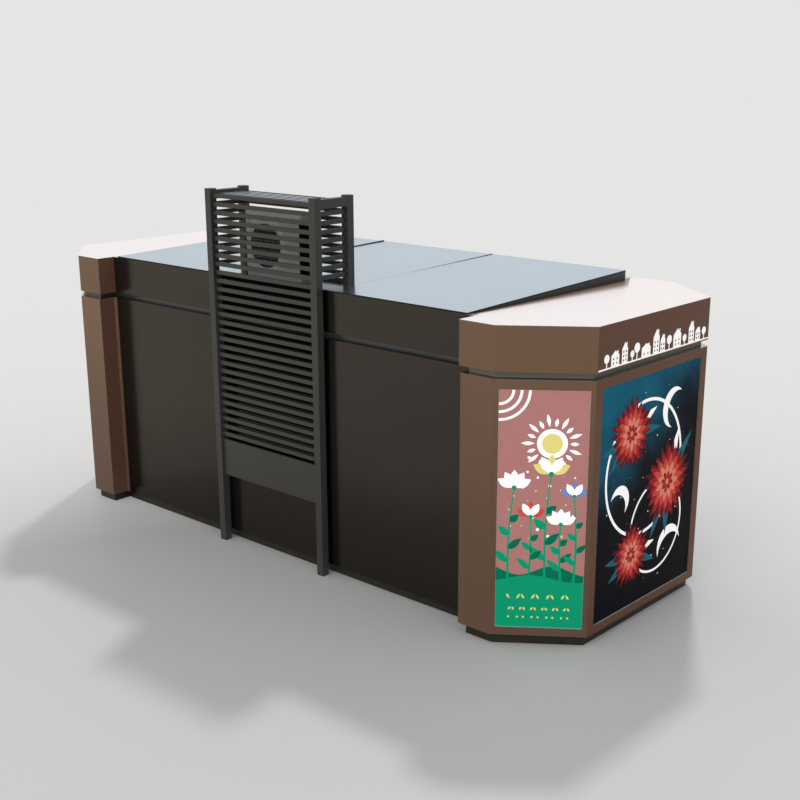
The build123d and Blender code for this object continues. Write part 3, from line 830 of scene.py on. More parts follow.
def outer_face(node, east, north=0.0):
    """Placement of a node's outer face, X along it, Y up and Z outward, with its width and height."""
    towards = Vector((east, north, 0.0))
    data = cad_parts[node].data
    outward = max((face.normal for face in data.polygons), key=lambda normal: normal.dot(towards)).copy()
    along = UP.cross(outward).normalized()
    reach = max(vertex.co.dot(outward) for vertex in data.vertices)
    face = [vertex.co for vertex in data.vertices if reach - vertex.co.dot(outward) < NEAR]
    spans = []
    for axis in (along, UP):
        marks = [corner.dot(axis) for corner in face]
        spans.append((min(marks), max(marks)))
    (left, right), (low, high) = spans
    centre = along * (left + right) / 2 + UP * (low + high) / 2 + outward * reach
    turn = Matrix((along, UP, outward)).transposed().to_4x4()
    return Matrix.Translation(centre) @ turn, right - left, high - low


def roof_top(y):
    """Height of the sloping roof's upper face at a depth."""
    low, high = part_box("roof_sheets")
    corners = [vertex.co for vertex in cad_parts["roof_sheets"].data.vertices]
    rear_top = max(corner.z for corner in corners if corner.y < low.y + NEAR)
    return rear_top + (high.z - rear_top) * (y - low.y) / (high.y - low.y)


def close_mesh(name, mesh, materials):
    """Mesh data from faces that have been built up, all facing outward, with their materials."""
    bmesh.ops.recalc_face_normals(mesh, faces=mesh.faces)
    data = bpy.data.meshes.new(name)
    mesh.to_mesh(data)
    mesh.free()
    for material in materials:
        data.materials.append(material)
    return data


def add_piece(name, mesh, place=None):
    """Links a mesh as a piece of the kiosk."""
    piece = bpy.data.objects.new(name, mesh)
    bpy.context.scene.collection.objects.link(piece)
    if place is not None:
        piece.matrix_world = place
    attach(piece, "root")
    return piece


def bridge(mesh, rings):
    """Faces between each ring of points and the next."""
    for first, second in zip(rings, rings[1:]):
        for here in range(len(first)):
            there = (here + 1) % len(first)
            mesh.faces.new((first[here], first[there], second[there], second[here]))


def skin(mesh, rings):
    """A closed skin over rings of points, with flat ends."""
    bridge(mesh, rings)
    mesh.faces.new(rings[0])
    mesh.faces.new(rings[-1][::-1])


# Where an upper film starts, as a share of a film's thickness, and the tiny steps of height in metres,
# taken in turn, that keep the tops of films on one level apart
SEAT_SHARE = 0.5
SPARE_HEIGHT = 0.00001
SPARE_STEPS = 12


class FilmSheet:
    """Thin closed films cut to outlines and laid over one another on a panel."""

    def __init__(self, name, inks):
        self.name = name
        self.inks = inks
        self.mesh = bmesh.new()
        self.count = 0

    def cut(self, outline, ink, level):
        """Adds one film with this outline, in this ink, standing at this level."""
        base = detail().film * SEAT_SHARE if level else 0.0
        top = detail().film + detail().ink_step * level + SPARE_HEIGHT * (self.count % SPARE_STEPS)
        self.count += 1
        lower = [self.mesh.verts.new((u, v, base)) for u, v in outline]
        upper = [self.mesh.verts.new((u, v, top)) for u, v in outline]
        faces = [self.mesh.faces.new(upper), self.mesh.faces.new(lower[::-1])]
        for here in range(len(outline)):
            there = (here + 1) % len(outline)
            faces.append(self.mesh.faces.new((lower[here], lower[there], upper[there], upper[here])))
        place = list(self.inks).index(ink)
        for face in faces:
            face.material_index = place

    def field(self, width, height, ink):
        """Covers the panel but for its bare edge, and returns half the covered width and height."""
        right, top = width / 2 - detail().film_margin, height / 2 - detail().film_margin
        self.cut(rectangle(-right, -top, right, top), ink, 0)
        return right, top

    def done(self):
        """The films as one mesh."""
        return close_mesh(self.name, self.mesh, self.inks.values())


def steps(points):
    """Even shares from nought to one."""
    return [step / points for step in range(points + 1)]


def rectangle(left, low, right, high):
    """Corners of an upright box."""
    return [(left, low), (right, low), (right, high), (left, high)]


def disc(u, v, radius, points=40):
    """A round outline."""
    turns = [2 * math.pi * step / points for step in range(points)]
    return [(u + radius * math.cos(turn), v + radius * math.sin(turn)) for turn in turns]


def leaf(u, v, heading, length, width, fullness=0.8, points=12):
    """A petal or leaf from its root, widest nearer the root where its fullness is below one."""
    ahead = Vector((math.cos(heading), math.sin(heading)))
    aside = Vector((-ahead.y, ahead.x))
    root = Vector((u, v))
    spine = [root + ahead * length * share for share in steps(points)]
    halves = [0.5 * width * math.sin(math.pi * share ** fullness) for share in steps(points)]
    right = [spot - aside * half for spot, half in zip(spine, halves)]
    left = [spot + aside * half for spot, half in zip(spine, halves)]
    return [tuple(spot) for spot in right + left[-2:0:-1]]


def ribbon(spine, widths):
    """A band along a line of points, with its own width at each."""
    right, left = [], []
    for index, spot in enumerate(spine):
        ahead = spine[min(index + 1, len(spine) - 1)] - spine[max(index - 1, 0)]
        aside = Vector((-ahead.y, ahead.x)).normalized() * widths[index] / 2
        right.append(spot - aside)
        left.append(spot + aside)
    return [tuple(spot) for spot in right + left[::-1]]


# The width left at a tapered band's tips, and the width that a stalk loses by its top, as shares
TIP_SHARE = 0.04
STALK_TAPER_SHARE = 0.5


def arc(u, v, radius, start, end, width, taper=False, points=36):
    """A curved band between two turns in degrees, drawn to points at its ends where it tapers."""
    spine, widths = [], []
    for share in steps(points):
        turn = math.radians(start + (end - start) * share)
        spine.append(Vector((u + radius * math.cos(turn), v + radius * math.sin(turn))))
        widths.append(width * max(math.sin(math.pi * share), TIP_SHARE) if taper else width)
    return ribbon(spine, widths)


def stem(start, end, sway, width, points=14):
    """A stalk that bends to one side between two points, thinner at its top, and its middle line."""
    first, last = Vector(start), Vector(end)
    aside = Vector((first.y - last.y, last.x - first.x)).normalized() * sway
    middle = (first + last) / 2 + aside
    spine = [first * (1 - s) ** 2 + middle * 2 * s * (1 - s) + last * s ** 2 for s in steps(points)]
    return ribbon(spine, [width * (1.0 - STALK_TAPER_SHARE * share) for share in steps(points)]), spine


def hill(width, low, crest, swell, waves, lead, points=36):
    """Ground that rolls across the whole panel."""
    outline = [(-width / 2, low), (width / 2, low)]
    for share in steps(points):
        u = width / 2 - width * share
        outline.append((u, crest + swell * math.sin(waves * 2 * math.pi * u / width + lead)))
    return outline


def scatter(count, width, height):
    """Places spread evenly over an oval without rows."""
    for step in range(count):
        turn = step * GOLDEN_ANGLE
        share = math.sqrt((step + 0.5) / count)
        yield step, width / 2 * share * math.cos(turn), height / 2 * share * math.sin(turn)


# Garden print, in shares of the panel's width, and of its height for what stands upright


# Hills: rise over the crest, swell, waves, lead of the first wave, ink, level
CREST_SHARE = -0.285
HILLS = ((0.035, 0.020, 1.3, 0.4, "deep_green", 1), (0.0, 0.014, 1.0, 2.2, "green", 3))
# Sun: place, discs by radius, ink and level, and rays
SUN_SHARES = (0.10, 0.285)
SUN_DISCS = ((0.17, "white", 1), (0.115, "yellow", 2))
RAY_COUNT = 18
RAY_ROOT_SHARE = 0.195
RAY_WIDTH_SHARE = 0.042
RAY_LENGTH_SHARES = (0.10, 0.15)
# Bows in the upper corner
BOW_RADIUS_SHARES = (0.16, 0.25, 0.34)
BOW_WIDTH_SHARE = 0.030
# Flower stalks: foot, head, height of the head, sway, ink, size
GARDEN_STALKS = (
    (-0.36, -0.31, 0.10, 0.05, "white", 1.0),
    (-0.14, -0.12, -0.02, -0.04, "coral", 0.85),
    (0.06, 0.10, 0.16, 0.06, "yellow", 1.1),
    (0.24, 0.22, -0.05, 0.03, "white", 0.9),
    (0.38, 0.36, 0.07, -0.05, "blue", 0.8),
)
STALK_ROOT_SHARE = 0.02
STALK_WIDTH_SHARE = 0.030
# Leaves: the stalk's points that bear them, their lean in degrees, length, loss of length and width
LEAF_POINTS = (3, 5, 7, 9)
LEAF_LEAN = 48.0
LEAF_LENGTH_SHARE = 0.24
LEAF_LOSS_SHARE = 0.035
LEAF_WIDTH_SHARE = 0.085
# Petals: count, angle between them in degrees, length, width and fullness, and the flower's heart
PETAL_COUNT = 5
PETAL_FAN = 31.0
PETAL_LENGTH_SHARE = 0.21
PETAL_WIDTH_SHARE = 0.10
PETAL_FULLNESS = 1.1
HEART_SHARE = 0.028
# Dots: count, spread, lift, inks, least radius and growth
DOT_COUNT = 34
DOT_SPREAD_SHARES = (0.88, 0.40)
DOT_LIFT_SHARE = 0.06
DOT_INKS = ("white", "yellow", "white")
DOT_RADIUS_SHARE = 0.006
DOT_GROWTH_SHARE = 0.004
# Grass rows: height, count and length of the blades, then their span, width and headings in degrees
GRASS_ROWS = ((-0.375, 9, 0.07), (-0.425, 12, 0.045), (-0.46, 9, 0.03))
GRASS_SPAN_SHARE = 0.76
GRASS_WIDTH_SHARE = 0.024
GRASS_HEADINGS = (120.0, 60.0)


def garden_print(width, height):
    """Mauve field with a white sun, rolling green ground and five tall flowers."""
    inks = plain_inks("mauve", "green", "deep_green", "yellow", "coral", "blue")
    sheet = FilmSheet("garden_print", {**inks, "white": white_film()})
    right, top = sheet.field(width, height, "mauve")
    crest = CREST_SHARE * height
    for rise, swell, waves, lead, ink, level in HILLS:
        sheet.cut(hill(2 * right, -top, crest + rise * height, swell * height, waves, lead), ink, level)
    garden_sun(sheet, width, height)
    for radius in BOW_RADIUS_SHARES:
        sheet.cut(arc(-right, top, radius * width, -90.0, 0.0, BOW_WIDTH_SHARE * width), "white", 1)
    for stalk in GARDEN_STALKS:
        garden_flower(sheet, width, height, crest, *stalk)
    across, upright = DOT_SPREAD_SHARES
    for step, u, v in scatter(DOT_COUNT, across * width, upright * height):
        radius = (DOT_RADIUS_SHARE + DOT_GROWTH_SHARE * (step % 4)) * width
        ink = DOT_INKS[step % len(DOT_INKS)]
        sheet.cut(disc(u, v + DOT_LIFT_SHARE * height, radius, points=14), ink, 1)
    for row, (level, count, long) in enumerate(GRASS_ROWS):
        for step in range(count):
            u = ((step + 0.5) / count - 0.5) * GRASS_SPAN_SHARE * width
            heading = math.radians(GRASS_HEADINGS[(step + row) % 2])
            blade = leaf(u, level * height, heading, long * width, GRASS_WIDTH_SHARE * width, fullness=1.0)
            sheet.cut(blade, "yellow", 4)
    return sheet.done()


def garden_sun(sheet, width, height):
    """A sun of two discs with long and short rays."""
    u, v = SUN_SHARES[0] * width, SUN_SHARES[1] * height
    for radius, ink, level in SUN_DISCS:
        sheet.cut(disc(u, v, radius * width), ink, level)
    for step in range(RAY_COUNT):
        turn = 2 * math.pi * step / RAY_COUNT
        root = (u + RAY_ROOT_SHARE * width * math.cos(turn), v + RAY_ROOT_SHARE * width * math.sin(turn))
        long = RAY_LENGTH_SHARES[step % 2] * width
        sheet.cut(leaf(*root, turn, long, RAY_WIDTH_SHARE * width, fullness=1.0), "white", 1)


def garden_flower(sheet, width, height, crest, foot, head, rise, sway, ink, size):
    """One stalk with leaves on alternate sides and an open cup of petals."""
    start = (foot * width, crest - STALK_ROOT_SHARE * height)
    end = (head * width, rise * height)
    outline, spine = stem(start, end, sway * width, STALK_WIDTH_SHARE * width)
    sheet.cut(outline, "green", 2)
    scale = size * width
    for step, point in enumerate(LEAF_POINTS):
        heading = math.radians(90.0 + (-LEAF_LEAN if step % 2 else LEAF_LEAN))
        long = (LEAF_LENGTH_SHARE - LEAF_LOSS_SHARE * step) * scale
        blade = leaf(*spine[point], heading, long, LEAF_WIDTH_SHARE * scale)
        sheet.cut(blade, "deep_green" if step % 2 else "green", 2)
    for step in range(PETAL_COUNT):
        heading = math.radians(90.0 + (step - PETAL_COUNT // 2) * PETAL_FAN)
        petal = leaf(*end, heading, PETAL_LENGTH_SHARE * scale, PETAL_WIDTH_SHARE * scale, PETAL_FULLNESS)
        sheet.cut(petal, "white" if step % 2 else ink, 3 + step % 2)
    sheet.cut(disc(*end, HEART_SHARE * scale, points=20), "green", 5)


# Night print, in shares of the panel's width, and of its height for what stands upright


# Rings: place, radius, band
NIGHT_RINGS = ((-0.05, 0.10, 0.38, 0.018), (0.10, -0.19, 0.27, 0.014))
# Tapered crescents: place, radius, start and end in degrees
CRESCENTS = (
    (0.25, 0.31, 0.11, 60.0, 250.0),
    (-0.30, -0.02, 0.085, -40.0, 150.0),
    (0.26, -0.33, 0.12, 20.0, 190.0),
)
CRESCENT_WIDTH_SHARE = 0.055
# Blooms: place, size, turn
NIGHT_BLOOMS = ((-0.20, 0.27, 0.200, 0.5), (0.20, -0.01, 0.235, 1.35), (-0.15, -0.27, 0.180, 0.2))
# Petal rings from the outside in: count, length and width as shares of the bloom, ink
PETAL_RINGS = (
    (22, 1.00, 0.20, "wine"), (18, 0.86, 0.20, "red"), (15, 0.68, 0.19, "coral"),
    (11, 0.48, 0.16, "blush"), (8, 0.28, 0.12, "red"),
)
PETAL_WAVE_SHARE = 0.08
BLOOM_HEART_SHARE = 0.07
# Leaves of a spray: heading in degrees, length as a share of the bloom, ink
SPRAY = ((-32.0, 1.50, "leaf"), (-6.0, 1.35, "white"), (166.0, 1.45, "leaf"), (194.0, 1.35, "leaf"))
SPRAY_WIDTH_SHARE = 0.26
# Sparks: count, spread, least radius
SPARK_COUNT = 46
SPARK_SPREAD_SHARES = (0.9, 0.92)
SPARK_RADIUS_SHARE = 0.0015


def night_print(width, height):
    """Night field with two thin rings and three layered red blooms."""
    inks = {"night": known(night_film), "white": white_film()}
    inks.update(plain_inks("wine", "red", "coral", "blush", "leaf"))
    sheet = FilmSheet("night_print", inks)
    sheet.field(width, height, "night")
    for u, v, radius, band in NIGHT_RINGS:
        for half in (0.0, 180.0):
            place = (u * width, v * height, radius * width)
            sheet.cut(arc(*place, half, half + 180.0, band * width, points=48), "white", 1)
    for u, v, radius, start, end in CRESCENTS:
        place = (u * width, v * height, radius * width)
        sheet.cut(arc(*place, start, end, CRESCENT_WIDTH_SHARE * width, taper=True), "white", 1)
    for u, v, size, turn in NIGHT_BLOOMS:
        night_bloom(sheet, u * width, v * height, size * width, turn)
    across, upright = SPARK_SPREAD_SHARES
    for step, u, v in scatter(SPARK_COUNT, across * width, upright * height):
        sheet.cut(disc(u, v, SPARK_RADIUS_SHARE * width * (1 + step % 3), points=10), "white", 1)
    return sheet.done()


def night_bloom(sheet, u, v, size, turn):
    """A layered bloom on a spray of slender leaves."""
    for degrees, long, ink in SPRAY:
        heading = math.radians(degrees) + turn
        sheet.cut(leaf(u, v, heading, long * size, SPRAY_WIDTH_SHARE * size, fullness=1.0), ink, 2)
    for ring, (count, long, wide, ink) in enumerate(PETAL_RINGS):
        for step in range(count):
            heading = turn + 2 * math.pi * (step + 0.5 * (ring % 2)) / count
            reach = long * size * (1.0 + PETAL_WAVE_SHARE * math.sin(5.0 * heading + ring))
            sheet.cut(leaf(u, v, heading, reach, wide * size, fullness=1.5), ink, 3 + ring)
    sheet.cut(disc(u, v, BLOOM_HEART_SHARE * size, points=18), "blush", 3 + len(PETAL_RINGS))


# Header houses and trees: kind, place as a share of the width, width and height in metres
FRIEZE_ROW = (
    ("tree", -0.43, 0.070, 0.105), ("house", -0.36, 0.110, 0.120), ("house", -0.28, 0.080, 0.165),
    ("tree", -0.215, 0.055, 0.080), ("tree", -0.175, 0.080, 0.130), ("house", -0.095, 0.130, 0.105),
    ("house", -0.005, 0.090, 0.195), ("house", 0.055, 0.070, 0.140), ("tree", 0.115, 0.075, 0.115),
    ("house", 0.19, 0.120, 0.150), ("tree", 0.26, 0.060, 0.085), ("house", 0.325, 0.085, 0.180),
    ("house", 0.39, 0.080, 0.115), ("tree", 0.45, 0.065, 0.100),
)
BASELINE_HALF_SHARE = 0.495
# Bare height under the line, and the sizes of windows and trunks, in metres
FRIEZE_FOOT = 0.012
PANE = 0.016
PANE_PITCH = 0.034
SILL = 0.014
HALF_TRUNK = 0.006
# Shares of a house: eaves, chimney's two sides and top, windows from the middle, height with windows
EAVES_SHARE = 0.68
CHIMNEY_SHARES = (0.22, 0.36)
CHIMNEY_TOP_SHARE = 0.97
WINDOW_SHARE = 0.22
WINDOWED_SHARE = 0.62


def frieze_print(width, height):
    """White cut film: gabled houses and round trees on a ground line."""
    inks = {"white": white_film(), "window": film_ink("window", coats().pod)}
    sheet = FilmSheet("frieze_print", inks)
    low = FRIEZE_FOOT - height / 2
    line = low + detail().baseline
    half = BASELINE_HALF_SHARE * width
    sheet.cut(rectangle(-half, low, half, line), "white", 1)
    for kind, share, wide, tall in FRIEZE_ROW:
        (frieze_house if kind == "house" else frieze_tree)(sheet, share * width, line, wide, tall)
    return sheet.done()


def frieze_house(sheet, u, line, wide, tall):
    """A gabled house with a chimney and rows of small windows."""
    half, eaves = wide / 2, line + EAVES_SHARE * tall
    outline = [(u - half, line), (u + half, line), (u + half, eaves), (u, line + tall), (u - half, eaves)]
    sheet.cut(outline, "white", 1)
    left, right = (u + share * wide for share in CHIMNEY_SHARES)
    sheet.cut(rectangle(left, eaves, right, line + CHIMNEY_TOP_SHARE * tall), "white", 1)
    for row in range(int((WINDOWED_SHARE * tall) // PANE_PITCH)):
        level = line + SILL + row * PANE_PITCH
        for side in (-1, 1):
            middle = u + side * WINDOW_SHARE * wide
            sheet.cut(rectangle(middle - PANE / 2, level, middle + PANE / 2, level + PANE), "window", 2)


def frieze_tree(sheet, u, line, wide, tall):
    """A round tree on a slim trunk."""
    crown = line + tall - wide / 2
    sheet.cut(disc(u, crown, wide / 2, points=28), "white", 1)
    sheet.cut(rectangle(u - HALF_TRUNK, line, u + HALF_TRUNK, crown), "white", 2)


# Operators


# Lamps: the way they stand from the kiosk, and how wide they look in degrees
KEY_WAY = (-0.41, 0.70, 1.0)
KEY_WIDTH = 4.5
FILL_WAY = (0.12, -0.91, 0.39)
FILL_WIDTH = 50.0
# Camera: the sensor's width in millimetres and how far it sees in metres
SENSOR_WIDTH = 36.0
CAMERA_REACH = 200.0


class KIOSK_OT_stage(bpy.types.Operator):
    """Sets up the camera, the lamps and the pale studio floor"""

    bl_idname = "kiosk.stage"
    bl_label = "Set up studio"

    def execute(self, context):
        stage = context.scene.kiosk_stage
        context.scene.view_settings.view_transform = "Standard"
        place_camera(stage)
        light_world(stage)
        lay_floor(stage)
        add_lamp("key_lamp", stage.key, KEY_WAY, KEY_WIDTH).visible_glossy = False
        add_lamp("fill_lamp", stage.fill, FILL_WAY, FILL_WIDTH)
        return {"FINISHED"}


def place_camera(stage):
    """The photograph's viewpoint."""
    data = bpy.data.cameras.new("camera")
    data.sensor_width = SENSOR_WIDTH
    data.lens = stage.lens
    data.shift_x, data.shift_y = stage.shift_x, stage.shift_y
    data.clip_end = CAMERA_REACH
    camera = bpy.data.objects.new("camera", data)
    level, rise = math.cos(stage.elevation), math.sin(stage.elevation)
    back = Vector((math.sin(stage.azimuth) * level, -math.cos(stage.azimuth) * level, rise))
    camera.rotation_mode = "QUATERNION"
    camera.location = stage.camera_place
    camera.rotation_quaternion = (-back).to_track_quat("-Z", "Y")
    bpy.context.scene.collection.objects.link(camera)
    bpy.context.scene.camera = camera


def seen_rays(tree):
    """One for rays that show the backdrop: straight, mirrored or through glass."""
    path = add_node(tree, "ShaderNodeLightPath").outputs
    mirrored = Reading(path["Is Camera Ray"]).calculate("MAXIMUM", path["Is Glossy Ray"])
    return mirrored.calculate("MAXIMUM", path["Is Transmission Ray"])


def light_world(stage):
    """Soft light from all round, with the pale backdrop where it shows."""
    world = bpy.data.worlds.new("studio")
    world.use_nodes = True
    tree = world.node_tree
    tree.nodes.clear()
    soft = add_node(tree, "ShaderNodeBackground", {"Color": rgba(WHITE), "Strength": stage.ambient})
    shown = add_node(tree, "ShaderNodeBackground", {"Color": rgba(stage.backdrop), "Strength": 1.0})
    values = {0: seen_rays(tree), 1: soft.outputs[0], 2: shown.outputs[0]}
    mixed = add_node(tree, "ShaderNodeMixShader", values)
    add_node(tree, "ShaderNodeOutputWorld", {"Surface": mixed.outputs[0]})
    bpy.context.scene.world = world


# The floor's middle, radius and sides, and its fade into the backdrop: stops as shares of a reach
FLOOR_CENTRE = (2.6, -4.0, 0.0)
FLOOR_RADIUS = 60.0
FLOOR_SIDES = 96
FADE_REACH = 20.0
FADE_STOPS = ((0.23, 0.0), (0.38, 0.58), (0.56, 0.85), (0.95, 1.0))


def lay_floor(stage):
    """A wide floor that keeps the kiosk's shadow and fades into the backdrop."""
    mesh = bmesh.new()
    bmesh.ops.create_circle(mesh, cap_ends=True, radius=FLOOR_RADIUS, segments=FLOOR_SIDES)
    data = bpy.data.meshes.new("studio_floor")
    mesh.to_mesh(data)
    mesh.free()
    floor = bpy.data.objects.new("studio_floor", data)
    floor.location = FLOOR_CENTRE
    bpy.context.scene.collection.objects.link(floor)
    data.materials.append(floor_coat(stage))


def floor_coat(stage):
    """Matt pale floor that gives way to the backdrop's own light further out."""
    texture = {"drift": 0.985, "gloss_drift": 0.02, "grain": 90, "relief": 0.0, "slow": 0.4}
    coat = Coat("studio_floor", stage.floor, roughness=0.5, **texture)
    tree = coat.tree
    ramp = add_node(tree, "ShaderNodeValToRGB", {0: reach_of(object_place(tree)) / FADE_REACH})
    stops = ramp.color_ramp.elements
    while len(stops) < len(FADE_STOPS):
        stops.new(0.5)
    for stop, (position, value) in zip(stops, FADE_STOPS):
        stop.position = position
        stop.color = (value, value, value, 1.0)
    fade = Reading(ramp.outputs[0]) * seen_rays(tree)
    glow = add_node(tree, "ShaderNodeEmission", {"Color": rgba(stage.backdrop), "Strength": 1.0})
    values = {0: fade, 1: coat.shader.outputs[0], 2: glow.outputs[0]}
    mixed = add_node(tree, "ShaderNodeMixShader", values)
    tree.links.new(mixed.outputs[0], tree.nodes["Material Output"].inputs["Surface"])
    return coat.done({"Specular IOR Level": 0.12})


def add_lamp(name, strength, way, width):
    """A distant lamp that shines from a direction."""
    data = bpy.data.lights.new(name, "SUN")
    data.energy = strength
    data.angle = math.radians(width)
    lamp = bpy.data.objects.new(name, data)
    lamp.rotation_mode = "QUATERNION"
    lamp.rotation_quaternion = Vector(way).to_track_quat("Z", "Y")
    bpy.context.scene.collection.objects.link(lamp)
    return lamp


class KIOSK_OT_pods(bpy.types.Operator):
    """Coats the two end pods in satin brown and gives them tops painted pale as a sky reflection"""

    bl_idname = "kiosk.pods"
    bl_label = "Coat end pods"

    def execute(self, context):
        coated = ("piers", "chamfer_walls", "end_wall", "header")
        brown = [side + "_" + part for side in SIDES for part in coated]
        dress(brown, known(pod_coat), detail().panel_edge)
        dress([side + "_cap" for side in SIDES], known(cap_coat))
        return {"FINISHED"}


class KIOSK_OT_middle_bay(bpy.types.Operator):
    """Finishes the dark middle bay with its set-back plinth, ring beam and floor"""

    bl_idname = "kiosk.middle_bay"
    bl_label = "Finish middle bay"

    def execute(self, context):
        edge = detail().panel_edge
        dress(("rear_wall", "rear_fascia"), known(wall_panel), edge)
        dress(("base_frame",), known(plinth_coat), edge)
        dress(("ring_beam",), known(reveal_coat), edge)
        dress(("floor_deck",), known(floor_board))
        return {"FINISHED"}


class KIOSK_OT_roof(bpy.types.Operator):
    """Finishes the roof sheets, their gables and the frame under them"""

    bl_idname = "kiosk.roof"
    bl_label = "Finish roof"

    def execute(self, context):
        dress(("roof_sheets", "front_deck"), known(roof_coat))
        lay_roof_laps()
        dress(("roof_gables", "roof_rafters", "roof_upstand"), known(gable_coat), detail().bar_edge)
        return {"FINISHED"}


# Edge strips of the roof laps: side, rise at the front in metres, share of the depth where it starts
LAPS = ((1.0, 0.0065, 0.45), (-1.0, 0.0115, 0.05))
# Where a strip starts and ends as shares of the depth, and its heights and rounding in metres
LAP_END_SHARES = (0.003, 0.999)
LAP_FLAT = 0.0005
LAP_ROOT_HEIGHT = 0.0003
LAP_SINK = 0.0004
LAP_NOSE = 0.003
LAP_NOSE_SHARE = 0.7


def lay_roof_laps():
    """Wedge strips along the roof seams: each sheet's edge laps the next and lifts towards the front."""
    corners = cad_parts["roof_sheets"].data.vertices
    inside, outside = sorted({round(abs(vertex.co.x), 4) for vertex in corners})[:2]
    rear, front = (corner.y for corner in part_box("roof_sheets"))
    first, last = LAP_END_SHARES
    mesh = bmesh.new()
    for side, lift, start in LAPS:
        seam = side * (inside + outside) / 2
        left, right = seam - detail().lap_root, seam + detail().lap
        rings = []
        for share, rise in ((first, LAP_FLAT), (start, LAP_FLAT), (last, lift)):
            y = rear + (front - rear) * share
            top = roof_top(y)
            section = (
                (left, top - LAP_SINK), (left, top + LAP_ROOT_HEIGHT), (right - LAP_NOSE, top + rise),
                (right, top + LAP_NOSE_SHARE * rise), (right, top - LAP_SINK),
            )
            rings.append([mesh.verts.new((x, y, z)) for x, z in section])
        skin(mesh, rings)
    data = close_mesh("roof_lap_strips", mesh, [known(roof_coat)])
    add_piece("roof_lap_strips", data)


class KIOSK_OT_screen(bpy.types.Operator):
    """Powder coats the louvred screen and its cage"""

    bl_idname = "kiosk.screen"
    bl_label = "Coat louvred screen"

    def execute(self, context):
        bars = [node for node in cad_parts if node.startswith("screen_") or node.endswith("_slats")]
        dress(sorted(bars), known(screen_coat), detail().bar_edge)
        dress(("screen_top_bars",), known(top_bar_coat))
        return {"FINISHED"}


class KIOSK_OT_condenser(bpy.types.Operator):
    """Finishes the cooling unit behind the louvres"""

    bl_idname = "kiosk.condenser"
    bl_label = "Finish cooling unit"

    def execute(self, context):
        dress(("condenser_casing", "condenser_lid", "condenser_feet"), known(condenser_coat))
        dress(("condenser_fan_guard",), known(guard_coat))
        for name, shape in (("ribs", press_ribs), ("bezel", press_bezel), ("base_pan", fold_base_pan)):
            mesh = bmesh.new()
            shape(mesh)
            data = close_mesh("condenser_" + name, mesh, [known(condenser_coat)])
            add_piece("condenser_" + name, data)
        return {"FINISHED"}


# Bare edge round the ribs, how deep they sink into the casing, and their rise and crest as shares
RIB_EDGE = 0.02
RIB_SINK = 0.0005
RIB_RISE_SHARE = 0.35
RIB_CREST_SHARE = 0.5


def press_ribs(mesh):
    """Fine upright ribs pressed into the casing's front, broken round the fan."""
    low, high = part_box("condenser_casing")
    fan, _ = fan_guard()
    clear = bezel_radius() + detail().bezel_shift
    count = int((high.x - low.x - 2 * RIB_EDGE) // detail().rib_pitch)
    for step in range(count + 1):
        x = (low.x + high.x) / 2 + (step - count / 2) * detail().rib_pitch
        spans = [(low.z + RIB_EDGE, high.z - RIB_EDGE)]
        if abs(x - fan.x) < clear:
            gap = math.sqrt(clear ** 2 - (x - fan.x) ** 2)
            spans = [(low.z + RIB_EDGE, fan.z - gap), (fan.z + gap, high.z - RIB_EDGE)]
        for foot, head in spans:
            if head - foot > RIB_EDGE:
                raise_rib(mesh, x, low.y, foot, head)


def raise_rib(mesh, x, face, foot, head):
    """One closed rib with a flat crest, sunk a little into the casing."""
    half, rise = detail().rib / 2, detail().rib * RIB_RISE_SHARE
    crest = RIB_CREST_SHARE * half
    section = ((-half, RIB_SINK), (-crest, -rise), (crest, -rise), (half, RIB_SINK))
    skin(mesh, [[mesh.verts.new((x + u, face + v, z)) for u, v in section] for z in (foot, head)])


def bezel_radius():
    """Outer radius of the pressed ring round the fan."""
    return fan_guard()[1] + 2 * detail().bezel


# The pressed ring: thickness of its sheet, width of its cut edge, how far its opening reaches inside
# the guard's edge and its crest outside it, as shares of the bezel, and the points of its circle
BEZEL_SHEET = 0.0006
BEZEL_LIP = 0.004
BEZEL_OPENING_SHARE = 0.6
BEZEL_CREST_SHARE = 0.9
BEZEL_POINTS = 72


def press_bezel(mesh):
    """A shallow ring pressed out of the casing that frames the fan guard."""
    fan, guard = fan_guard()
    face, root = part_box("condenser_casing")[0].y, casing_face()
    opening = guard - BEZEL_OPENING_SHARE * detail().bezel
    crest = guard + BEZEL_CREST_SHARE * detail().bezel
    outer = bezel_radius()
    section = (
        (opening, face - 2 * BEZEL_SHEET), (crest, face - 2 * BEZEL_SHEET), (outer, root - BEZEL_SHEET),
        (outer - BEZEL_LIP, root + BEZEL_SHEET), (crest, face - BEZEL_SHEET), (opening, face - BEZEL_SHEET),
    )
    rings = []
    for radius, y in section:
        outline = disc(fan.x + detail().bezel_shift, fan.z, radius, BEZEL_POINTS)
        rings.append([mesh.verts.new((u, y, v)) for u, v in outline])
    bridge(mesh, rings + rings[:1])


# The base pan: reach of its lip and of its wall past the casing, its corners, its lip's two levels
# above the roof, and how far its wall reaches up into the casing
PAN_LIP = 0.006
PAN_WALL = 0.0015
PAN_CORNER = 0.018
PAN_LIP_TOP = 0.002
PAN_FOLD_TOP = 0.004
PAN_REACH_UP = 0.002


def fold_base_pan(mesh):
    """A folded pan under the casing that closes the gap down to the sloping roof."""
    low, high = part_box("condenser_casing")
    face = casing_face()
    rings = []
    for grow, lift in ((PAN_LIP, 0.0), (PAN_LIP, PAN_LIP_TOP), (PAN_WALL, PAN_FOLD_TOP), (PAN_WALL, None)):
        outline = rounded_box(low.x - grow, face - grow, high.x + grow, high.y + grow, PAN_CORNER + grow)
        ring = []
        for x, y in outline:
            z = low.z + PAN_REACH_UP if lift is None else roof_top(y) + lift
            ring.append(mesh.verts.new((x, y, z)))
        rings.append(ring)
    skin(mesh, rings)


